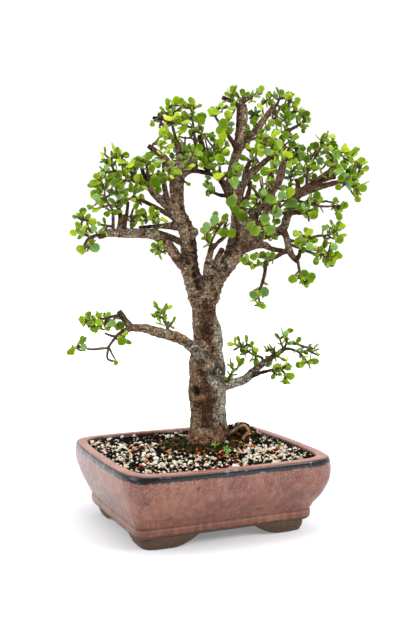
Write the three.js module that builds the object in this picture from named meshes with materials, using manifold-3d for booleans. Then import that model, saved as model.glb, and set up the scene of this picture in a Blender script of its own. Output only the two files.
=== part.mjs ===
// A dwarf jade bonsai in a glazed bracket-foot pot. Millimetres, +Z up, the long side of the pot along X.
// The origin is on the floor, under the middle of the whole object's box.
import * as THREE from 'three';
import { mergeVertices } from 'three/addons/utils/BufferGeometryUtils.js';
import Module from 'manifold-3d';

const wasm = await Module();
wasm.setup();

// Driving dimensions of the pot
const POT_LENGTH = 254;
const POT_WIDTH = 245;
const POT_HEIGHT = 88;
const RIM_SQUARENESS = 10;         // exponent of the rounded rectangle at the rim
const RIM_BOW = 0.05;              // how far its sides bow out, as a share of half the size
const BASE_SQUARENESS = 20;        // the base is squarer and not bowed
const FRONT_LEAN = 13;             // how much further in the long walls stand at the base than the short ones
const FULL_LEAN_INSET = 16;        // for insets of this much or more
const RIM_WIDTH = 12.5;
const FOOT_HEIGHT = 12;
const FOOT_SUNK = 1.5;
const FOOT_SQUARENESS = 12;
const FOOT_BAND = 13;              // from the foot's outer face to its inner face
const FOOT_TAPER = 2.5;            // how far the outer face leans in at the floor
const FOOT_REACH = 62;             // from the corner to the foot's end, along the outline
const FOOT_FLAT = 30;              // from the corner to where the foot starts to rise
const FOOT_STATIONS = 9;
const FOOT_INSET = 27;             // from the rim's outline to the foot's outer face, on the short sides
const FOOT_FRONT_INSET = 35;       // and on the long sides
const FLOOR_TOP = 25;              // upper face of the pot's floor
const DRAIN_DIAMETER = 16;
const DRAIN_APART = 110;
const SCREEN_SIDE = 32;
const SCREEN_THICKNESS = 1.2;
const SCREEN_HOLE = 5;
const SCREEN_PITCH = 8;
const GAP = 0.35;                  // clearance between pieces that touch

// The tree stands off the pot's middle and is described as it is seen from the front viewpoint:
// x to the viewer's right, y away from the viewer, z up.
const TREE_TURN = THREE.MathUtils.degToRad(-23.92);
const TREE_RIGHT = 12;
const TREE_BACK = 16;
const EYE_X = 0.6;
const EYE_Y = -1032.5;
const EYE_Z = 301.7;

// Soil: level at the walls and the mounds on it
const SOIL_FRONT = 85.5;
const SOIL_BACK = 79;
const SOIL_GRAIN = 2;
const SOIL_EDGE = 84;              // height whose outline bounds the soil's surface
const SOIL_EDGE_GAP = 1.8;
const WALL_GAP = 0.9;
const MOUNDS = [
  { x: 0, y: 0, height: 12, spread: 48 },
  { x: 40, y: 22, height: 24, spread: 22 },
];

// Leaves and young stems
const LEAF_LENGTH = 11;
const LEAF_THICKNESS = 1.5;
const LEAF_CUP = 0.12;
const LEAF_LIFT = 0.18;
const FIRST_PAIR = 2.2;            // from a stem's tip to its first pair of leaves
const PAIR_STEP = 6.3;
const RING_HALF = 0.9;             // half the length of stem that a pair of leaves grows from
const STEM_RADIUS = 1.15;
const TIP_RADIUS = 0.7;
const MAIN_PAIRS = 3;
const SIDE_PAIRS = 1;
const TWIG_SHARE = 0.32;          // share of the side twigs that the solids have

const COLOUR = {
  glaze: new THREE.MeshStandardMaterial({ color: 0x9b6962, roughness: 0.3, metalness: 0 }),
  mesh: new THREE.MeshStandardMaterial({ color: 0x22241f, roughness: 0.6, metalness: 0 }),
  soil: new THREE.MeshStandardMaterial({ color: 0x6b5a48, roughness: 0.95, metalness: 0 }),
  bark: new THREE.MeshStandardMaterial({ color: 0x735f4b, roughness: 0.85, metalness: 0 }),
  leaf: new THREE.MeshStandardMaterial({ color: 0x5f9628, roughness: 0.4, metalness: 0 }),
  weed: new THREE.MeshStandardMaterial({ color: 0x6fb02c, roughness: 0.5, metalness: 0 }),
};

// Seeded random numbers from 0 to 1
function makeRandom(seed) {
  let state = seed >>> 0;
  return () => {
    state = (Math.imul(state, 1664525) + 1013904223) >>> 0;
    return state / 4294967296;
  };
}

// A closed solid from rings of points that all have the same number of points. The first and the last
// ring are closed by a fan to their own middle, or by the ring itself where it is a single point.
function loft(rings) {
  const count = Math.max(...rings.map((ring) => ring.length));
  const vertices = [];
  const triangles = [];
  const starts = rings.map((ring) => {
    const start = vertices.length / 3;
    for (const p of ring) vertices.push(p.x, p.y, p.z);
    return start;
  });
  for (let i = 0; i + 1 < rings.length; i += 1) {
    for (let k = 0; k < count; k += 1) {
      const next = (k + 1) % count;
      const a = starts[i] + (rings[i].length > 1 ? k : 0);
      const b = starts[i] + (rings[i].length > 1 ? next : 0);
      const c = starts[i + 1] + (rings[i + 1].length > 1 ? next : 0);
      const d = starts[i + 1] + (rings[i + 1].length > 1 ? k : 0);
      if (a !== b) triangles.push(a, b, c);
      if (c !== d) triangles.push(a, c, d);
    }
  }
  for (let k = 1; k + 1 < rings[0].length; k += 1) triangles.push(starts[0], starts[0] + k + 1, starts[0] + k);
  const last = rings.length - 1;
  for (let k = 1; k + 1 < rings[last].length; k += 1) {
    triangles.push(starts[last], starts[last] + k, starts[last] + k + 1);
  }
  return solid(vertices, triangles);
}

function solid(vertices, triangles) {
  return new wasm.Manifold(new wasm.Mesh({
    numProp: 3,
    vertProperties: new Float32Array(vertices),
    triVerts: new Uint32Array(triangles),
  }));
}

function fromGeometry(geometry) {
  geometry.deleteAttribute('normal');
  geometry.deleteAttribute('uv');
  const merged = mergeVertices(geometry, 1e-4);
  return solid(merged.getAttribute('position').array, merged.getIndex().array);
}

function join(solids) {
  return solids.reduce((whole, one) => whole.add(one));
}

// The largest body of a solid that a cut may have left in pieces
function largest(whole) {
  return whole.decompose().reduce((best, one) => (one.volume() > best.volume() ? one : best));
}

const bonsai = new THREE.Group();

function addNode(name, whole, material) {
  const mesh = whole.getMesh();
  const geometry = new THREE.BufferGeometry();
  const positions = new Float32Array((mesh.vertProperties.length / mesh.numProp) * 3);
  for (let i = 0; i < positions.length / 3; i += 1) {
    for (let k = 0; k < 3; k += 1) positions[i * 3 + k] = mesh.vertProperties[i * mesh.numProp + k];
  }
  geometry.setAttribute('position', new THREE.BufferAttribute(positions, 3));
  geometry.setIndex(new THREE.BufferAttribute(new Uint32Array(mesh.triVerts), 1));
  const node = new THREE.Mesh(geometry, material);
  node.name = name;
  bonsai.add(node);
}

// From the tree's own axes to the pot's
function place(x, z, y) {
  const right = x + TREE_RIGHT;
  const back = y + TREE_BACK;
  const cos = Math.cos(TREE_TURN);
  const sin = Math.sin(TREE_TURN);
  return new THREE.Vector3(right * cos - back * sin, right * sin + back * cos, z);
}

// The place at depth y that, seen from the front viewpoint, covers the point (x, z) of the tree's middle plane
function seen(x, z, y) {
  const scale = 1 - y / EYE_Y;
  return place(EYE_X + (x - EYE_X) * scale, EYE_Z + (z - EYE_Z) * scale, y);
}

// A rounded rectangle whose sides bow out. A place on it is given as shares u and v of half its length
// and half its width.
function bowedPoint([u, v], halfLength, halfWidth, z, bow) {
  return new THREE.Vector3(halfLength * u * (1 - bow * v * v), halfWidth * v * (1 - bow * u * u), z);
}

// Shares of half a side at which the outlines have points, from its middle towards a corner
const SIDE_SHARES = [0, 0.4, 0.72, 0.9];

function placeAt(v, squareness) {
  return [(1 - v ** squareness) ** (1 / squareness), v];
}

function placesRound(squareness) {
  const corner = 0.5 ** (1 / squareness);
  const eighth = SIDE_SHARES.map((v) => placeAt(v, squareness));
  const quarter = [...eighth, [corner, corner], ...eighth.slice(1).reverse().map(([u, v]) => [v, u])];
  const turned = (turns) => quarter.map(([u, v]) => [[u, v], [-v, u], [-u, -v], [v, -u]][turns]);
  return [0, 1, 2, 3].flatMap(turned);
}

// Outline of the pot at a distance inside its widest outline, at one height
function outline(inset, z) {
  const low = Math.min(1, (POT_HEIGHT - z) / (POT_HEIGHT - FOOT_HEIGHT));
  const lean = FRONT_LEAN * Math.min(1, inset / FULL_LEAN_INSET) * (1 - THREE.MathUtils.smoothstep(z, FOOT_HEIGHT, POT_HEIGHT));
  return placesRound(RIM_SQUARENESS + (BASE_SQUARENESS - RIM_SQUARENESS) * low).map((place) => (
    bowedPoint(place, POT_LENGTH / 2 - inset, POT_WIDTH / 2 - inset - lean, z, RIM_BOW * (1 - low))));
}

// The wall outside, from the foot of the bowl to the lip, as height and inset
const OUTER_WALL = [
  [FOOT_HEIGHT, 24], [20.5, 19.4], [23.2, 20], [40, 12.4], [49, 8.3], [62.6, 3], [77, 0.3], [83, 0], [POT_HEIGHT - 1.2, 0.8],
];
const LIP = [POT_HEIGHT, 2.6];
const INNER_EDGE = [POT_HEIGHT, RIM_WIDTH - 1];
const INNER_WALL = [[POT_HEIGHT - 1.5, RIM_WIDTH], [68, RIM_WIDTH + 2], [42, 22], [FLOOR_TOP, 34]];

function innerInset(z) {
  for (let i = 0; i + 1 < INNER_WALL.length; i += 1) {
    const [high, insetHigh] = INNER_WALL[i];
    const [low, insetLow] = INNER_WALL[i + 1];
    if (z >= low) return insetHigh + (insetLow - insetHigh) * Math.max(0, high - z) / (high - low);
  }
  return INNER_WALL[INNER_WALL.length - 1][1];
}

// Places along one quarter of the foot's outer line, at distances from its corner. The sides that meet
// there are on the sides toX and toY of the pot.
function cornerPath([toX, toY], distances) {
  const fine = 960;
  const corner = 0.5 ** (1 / FOOT_SQUARENESS);
  const points = Array.from({ length: fine + 1 }, (_, k) => {
    const run = toX * toY * (2 * k / fine - 1);
    const [u, v] = placeAt((1 - Math.abs(run)) * corner, FOOT_SQUARENESS);
    const [x, y] = run < 0 ? [u, v] : [v, u];
    return bowedPoint([toX * x, toY * y], POT_LENGTH / 2 - FOOT_INSET, POT_WIDTH / 2 - FOOT_FRONT_INSET, 0, 0);
  });
  const run = [0];
  for (let k = 1; k <= fine; k += 1) run.push(run[k - 1] + points[k].distanceTo(points[k - 1]));
  return distances.map((distance) => {
    const at = run[fine / 2] + distance;
    const k = Math.min(fine - 1, Math.max(1, run.findIndex((one) => one >= at)));
    const outward = points[k + 1].clone().sub(points[k - 1]).normalize();
    return { edge: points[k], outward: new THREE.Vector3(outward.y, -outward.x, 0) };
  });
}

// One bracket foot, bent round a corner: full height near the corner, with a curved rise at both ends
function foot(corner) {
  const distances = Array.from({ length: FOOT_STATIONS }, (_, i) => (2 * i / (FOOT_STATIONS - 1) - 1) * FOOT_REACH);
  const top = FOOT_HEIGHT + FOOT_SUNK;
  const rings = cornerPath(corner, distances).map(({ edge, outward }, i) => {
    const rise = Math.max(0, (Math.abs(distances[i]) - FOOT_FLAT) / (FOOT_REACH - FOOT_FLAT));
    const bottom = Math.min(FOOT_HEIGHT * rise ** 1.8, FOOT_HEIGHT + 0.3);
    const at = (inward, z) => edge.clone().addScaledVector(outward, -inward).setZ(z);
    return [at(0, top), at(FOOT_TAPER, bottom), at(FOOT_BAND, bottom), at(FOOT_BAND, top)];
  });
  return loft(rings);
}

function prism(radius, sides, low, high, x, y) {
  const ring = (z) => Array.from({ length: sides }, (_, k) => {
    const angle = k * 2 * Math.PI / sides;
    return new THREE.Vector3(x + radius * Math.cos(angle), y + radius * Math.sin(angle), z);
  });
  return loft([ring(low), ring(high)]);
}

function pot() {
  const outer = OUTER_WALL.map(([z, inset]) => outline(inset, z));
  const rim = [outline(LIP[1], LIP[0]), outline(INNER_EDGE[1], INNER_EDGE[0])];
  const inner = INNER_WALL.map(([z, inset]) => outline(inset, z));
  let body = loft([...outer, ...rim, ...inner]);
  for (const corner of [[1, 1], [-1, 1], [-1, -1], [1, -1]]) body = body.add(foot(corner));
  for (const side of [-1, 1]) {
    body = body.subtract(prism(DRAIN_DIAMETER / 2, 14, FOOT_HEIGHT - 5, FLOOR_TOP + 5, side * DRAIN_APART / 2, 0));
  }
  return body;
}

function box(width, depth, height, x, y, z) {
  const geometry = new THREE.BoxGeometry(width, depth, height);
  geometry.translate(x, y, z);
  return fromGeometry(geometry);
}

// A square of plastic mesh that covers one drain hole
function drainScreen(x) {
  const z = FLOOR_TOP + GAP + SCREEN_THICKNESS / 2;
  let plate = box(SCREEN_SIDE, SCREEN_SIDE, SCREEN_THICKNESS, x, 0, z);
  for (const i of [-1, 0, 1]) {
    for (const j of [-1, 0, 1]) {
      plate = plate.subtract(box(SCREEN_HOLE, SCREEN_HOLE, 9, x + i * SCREEN_PITCH, j * SCREEN_PITCH, z));
    }
  }
  return plate;
}

function screenSpace(x) {
  const side = SCREEN_SIDE + 2 * GAP;
  return box(side, side, 2 * (SCREEN_THICKNESS + 2 * GAP), x, 0, FLOOR_TOP);
}

// Height of the ground at a place given in the tree's own axes, without the grains
function groundHeight(x, y) {
  const back = THREE.MathUtils.smoothstep(y, -90, 60);
  let height = SOIL_FRONT + (SOIL_BACK - SOIL_FRONT) * back;
  for (const mound of MOUNDS) {
    const far = ((x - mound.x) ** 2 + (y - mound.y) ** 2) / mound.spread ** 2;
    height += mound.height * Math.exp(-far);
  }
  return height;
}

function toTree(p) {
  const cos = Math.cos(TREE_TURN);
  const sin = Math.sin(TREE_TURN);
  return { x: p.x * cos + p.y * sin - TREE_RIGHT, y: -p.x * sin + p.y * cos - TREE_BACK };
}

// The soil fills the pot up to its own surface, which carries the grains as relief
function soil() {
  const random = makeRandom(11);
  const shares = [1, 0.93, 0.84, 0.74, 0.63, 0.52, 0.41, 0.3];
  const wall = INNER_WALL.slice(1, 3).reverse();
  const bottomInset = INNER_WALL[3][1] + 1;
  const rings = [outline(bottomInset, FLOOR_TOP + GAP)];
  for (const [z, inset] of wall) rings.push(outline(inset + WALL_GAP, z));
  const centre = place(0, 0, 0);
  for (const share of shares) {
    const ring = outline(innerInset(SOIL_EDGE) + SOIL_EDGE_GAP, SOIL_EDGE).map((edge) => {
      const p = new THREE.Vector3(centre.x + (edge.x - centre.x) * share, centre.y + (edge.y - centre.y) * share, 0);
      const q = toTree(p);
      const grain = share === 1 ? -0.5 : (random() - 0.5) * 2 * SOIL_GRAIN;
      const nearWall = THREE.MathUtils.smoothstep(share, 0.8, 1);
      const mounded = groundHeight(q.x, q.y);
      p.z = Math.min(mounded, POT_HEIGHT - 2.2 + (1 - nearWall) * 60) + grain;
      return p;
    });
    rings.push(ring);
  }
  rings.push([new THREE.Vector3(centre.x, centre.y, groundHeight(0, 0))]);
  return loft(rings);
}

// A solid that follows a line of points with a radius at each, with flat or pointed ends
function sweep(points, radii, sides, options = {}) {
  const { pointed = false, grow = 0, squash = 1 } = options;
  const rings = [];
  let side = new THREE.Vector3();
  const tangentAt = (i) => {
    const before = points[Math.max(0, i - 1)];
    const after = points[Math.min(points.length - 1, i + 1)];
    return after.clone().sub(before).normalize();
  };
  for (let i = 0; i < points.length; i += 1) {
    const tangent = tangentAt(i);
    if (i === 0) {
      side = Math.abs(tangent.z) < 0.9 ? new THREE.Vector3(0, 0, 1) : new THREE.Vector3(1, 0, 0);
    }
    side.addScaledVector(tangent, -side.dot(tangent)).normalize();
    const other = tangent.clone().cross(side);
    const radius = radii[i] + grow;
    rings.push(Array.from({ length: sides }, (_, k) => {
      const angle = k * 2 * Math.PI / sides;
      return points[i].clone()
        .addScaledVector(side, radius * Math.cos(angle))
        .addScaledVector(other, radius * squash * Math.sin(angle));
    }));
  }
  const lengthen = (end, i) => end.clone().addScaledVector(tangentAt(i), i === 0 ? -grow : grow);
  if (grow > 0) {
    const first = points[0];
    const shift = lengthen(first, 0).sub(first);
    rings[0].forEach((p) => p.add(shift));
    const final = points[points.length - 1];
    const push = lengthen(final, points.length - 1).sub(final);
    rings[rings.length - 1].forEach((p) => p.add(push));
  }
  if (pointed) {
    const i = points.length - 1;
    rings.push([points[i].clone().addScaledVector(tangentAt(i), radii[i] + 2 * grow)]);
  }
  return loft(rings);
}

// The trunk: height, middle and radius, read upwards from its foot in the soil
const TRUNK_SIDES = 12;
const TRUNK = [
  [58, 1, 17], [72, 1, 23], [88, 0, 26.5], [100, 1, 25], [110, 1.3, 23.3], [121, 1.3, 21.6], [140, 0.5, 21.9], [151, -0.7, 23],
  [166, -0.5, 22], [181, 0, 22.3], [191, -1.2, 20.6], [202, -1, 18.8], [212, 1, 18], [228, -0.5, 16.6], [241, -3.5, 14.4],
  [251, -4.5, 14.6], [261, -5.3, 16], [271, -5.3, 17.5],
];

function trunk(grow) {
  const rings = TRUNK.map(([z, x, radius]) => Array.from({ length: TRUNK_SIDES }, (_, k) => {
    const angle = k * 2 * Math.PI / TRUNK_SIDES;
    const flare = THREE.MathUtils.smoothstep(118 - z, 0, 40);
    const lobes = 1 + 0.1 * flare * Math.cos(5 * angle + 0.6) + 0.02 * Math.cos(2 * angle + z / 40);
    const r = radius * lobes + grow;
    return place(x + r * Math.cos(angle), z + (z < 60 ? -grow : 0), 0.93 * r * Math.sin(angle));
  }));
  return loft(rings);
}

// Each branch: depth at its start and end, then its points as x, z and radius, from inside its parent outwards
const BRANCHES = {
  left_limb: [0, 0, [[-8, 262, 14], [-15, 280, 11.5], [-21, 300, 10.5], [-23, 335, 9], [-28, 350, 9.3], [-34, 363, 8.2]]],
  left_stub: [0, -4, [[-24, 340, 5.5], [-12, 342.5, 4.6]]],
  left_upright: [0, 14, [[-33, 358, 7], [-36, 380, 5.7], [-35, 400, 5.5], [-31, 410, 4.8], [-33, 430, 4], [-37, 450, 3.4]]],
  left_inner: [12, 21, [[-32, 406, 3.6], [-19, 414, 2.6], [2, 410, 2]]],
  left_outer: [0, -36, [[-33, 358, 6.5], [-43, 368, 5], [-61, 385, 4.5], [-71, 396, 4], [-89, 404, 2.8], [-98, 410, 2.3]]],
  left_outer_rise: [-10, -22, [[-45, 370, 4], [-50, 390, 3.3], [-52, 405, 2.8]]],
  left_middle: [0, -38, [[-36, 358, 5], [-47, 363, 3.2], [-67, 374, 2.4], [-80, 380, 2.1]]],
  left_low: [-4, -50, [[-18, 294, 8.5], [-32, 306, 6.5], [-45, 325, 5.8], [-54, 334, 5.5], [-67, 341, 5.2], [-99, 342, 4.8],
    [-118, 343, 3.6], [-131, 338.5, 2.7]]],
  left_low_strand: [-3, -24, [[-24, 327, 4.5], [-40, 334, 3.4], [-52, 338, 3], [-65, 343, 3]]],
  left_low_thin: [0, -12, [[-25, 350, 4], [-40, 348.5, 2.4], [-70, 348, 1.8], [-82, 347, 1.5]]],
  left_low_rise: [-39, -33, [[-105, 341, 3.6], [-103, 362, 2.3], [-105, 370, 1.9]]],
  right_limb: [0, 3, [[0, 262, 14], [5, 274, 11.6], [12, 288, 10.2], [24, 303, 9.3], [36, 319, 8.5], [42, 332, 8]]],
  centre: [3, 12, [[40, 327, 8], [41, 347, 7], [36, 362, 6], [26, 389, 5.2], [31, 424, 5], [36, 439, 5.4], [39, 472, 4.7],
    [41, 492, 4]]],
  centre_stub: [8, -3, [[35, 438, 3.4], [28, 450, 2.8], [17, 465, 2.5]]],
  centre_right: [9, 36, [[36, 438, 4.4], [47, 448, 3.8], [68, 473, 3.3], [79, 488, 2.7]]],
  centre_front: [3, -24, [[34, 366, 5], [37, 388, 4.2], [44, 401, 4], [68, 425, 3.3], [78, 432, 2.8]]],
  centre_twig: [6, -9, [[27, 386, 3.4], [17, 385, 2.4], [8, 388, 1.7]]],
  right_upright: [3, 28, [[41, 334, 6.5], [50, 352, 5], [64, 375, 4.6], [80, 397, 4.5], [93, 413, 4.4], [92, 428, 4],
    [87, 450, 3.6], [98, 463, 2.8]]],
  right_inner: [12, 3, [[72, 386, 3.6], [76, 412, 3], [79, 430, 2.3]]],
  right_outer: [0, -6, [[38, 320, 7.5], [58, 335, 6], [87, 344, 5.2], [94, 358, 4.8], [101, 377, 4.2], [110, 386, 3.6]]],
  right_far: [-6, -3, [[108, 385, 3.4], [130, 392, 3], [150, 397.5, 2.5], [164, 402, 2]]],
  right_far_rise: [-6, -15, [[109, 385, 3.2], [128, 403, 2.4]]],
  right_arch: [-4, -24, [[92, 356, 4], [100, 365, 3.2], [110, 364, 2.4]]],
  right_low: [-3, -30, [[88, 346, 4.6], [93, 335, 4], [96, 318, 3.2], [107.7, 305.7, 2.2]]],
  right_low_left: [-20, -30, [[97, 320, 3], [90, 317.5, 2.6], [79, 311, 2.3]]],
  right_crossing: [-3, -20, [[50, 332, 3], [69, 325.6, 2.2], [93, 319, 2]]],
  fork_shoot: [-9, -15, [[-3, 268, 6], [-3, 294, 4], [-4, 303, 3.8], [2, 326, 3]]],
  fork_ridge: [-9, -12, [[6, 292, 5], [17, 316, 3.4], [18, 322, 2.8]]],
  low_left: [-17, -46, [[-4, 192, 7.5], [-11, 196, 6.5], [-26, 211, 6], [-36, 216, 6.2], [-57, 222, 5.9], [-75, 227, 5],
    [-91, 228, 4.2]]],
  low_left_cut: [-45, -45, [[-90, 228, 4], [-96, 234, 3.8], [-106, 248, 3.3]]],
  low_left_end: [-45, -51, [[-89, 228, 3.8], [-103, 223, 2.8]]],
  low_right: [-6, 9, [[12, 157, 8], [22, 159, 6.4], [33, 162, 5.6], [45, 166, 5.2], [53, 174, 4.6], [69, 187, 3.7],
    [84, 197, 3.2], [91, 202, 2.8]]],
  low_right_dark: [3, -12, [[48, 168, 3.4], [62, 173.4, 2.4], [74, 176.5, 2]]],
  back_limb: [9, 93, [[14, 292, 8], [26, 316, 6.5], [32, 345, 5.5], [34, 376, 4.6], [44, 402, 3.6], [56, 420, 2.6]]],
  back_left_limb: [3, 84, [[-22, 318, 7], [-27, 345, 5.5], [-32, 376, 4.4], [-30, 405, 3.4], [-24, 424, 2.5]]],
  front_left_limb: [-3, -87, [[-22, 322, 7], [-29, 345, 5.2], [-38, 372, 4.2], [-42, 396, 3.2], [-42, 408, 2.4]]],
  front_right_limb: [-3, -84, [[48, 330, 6], [60, 346, 4.6], [70, 366, 3.8], [78, 388, 2.8]]],
  knot: [-6, -20, [[6, 175, 5.5], [17.5, 175, 4.6]]],
  root_front: [-10, -36, [[-6, 98, 12], [-10, 84, 7]]],
  root_left: [2, 8, [[-12, 96, 12], [-34, 82, 6]]],
  root_right: [10, 26, [[16, 100, 11], [34, 92, 6], [40, 84, 4]]],
  root_arch: [-6, -8, [[30, 100, 3], [37, 105, 3.4], [43, 111.5, 3.2], [46, 110, 3.2], [44, 100, 3.4], [41, 88, 3.6]]],
};

function pathOf([startDepth, endDepth, points]) {
  const lengths = points.map((p, i) => (i === 0 ? 0 : Math.hypot(p[0] - points[i - 1][0], p[1] - points[i - 1][1])));
  const total = lengths.reduce((sum, one) => sum + one, 0);
  let run = 0;
  return points.map(([x, z], i) => {
    run += lengths[i];
    return seen(x, z, startDepth + (endDepth - startDepth) * run / total);
  });
}

function wood(grow) {
  const solids = [trunk(grow)];
  for (const branch of Object.values(BRANCHES)) {
    const radii = branch[2].map((p) => p[2]);
    const sides = radii[0] > 7 ? 7 : radii[0] > 4.3 ? 5 : 4;
    solids.push(sweep(pathOf(branch), radii, sides, { grow }));
  }
  return join(solids);
}

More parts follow.
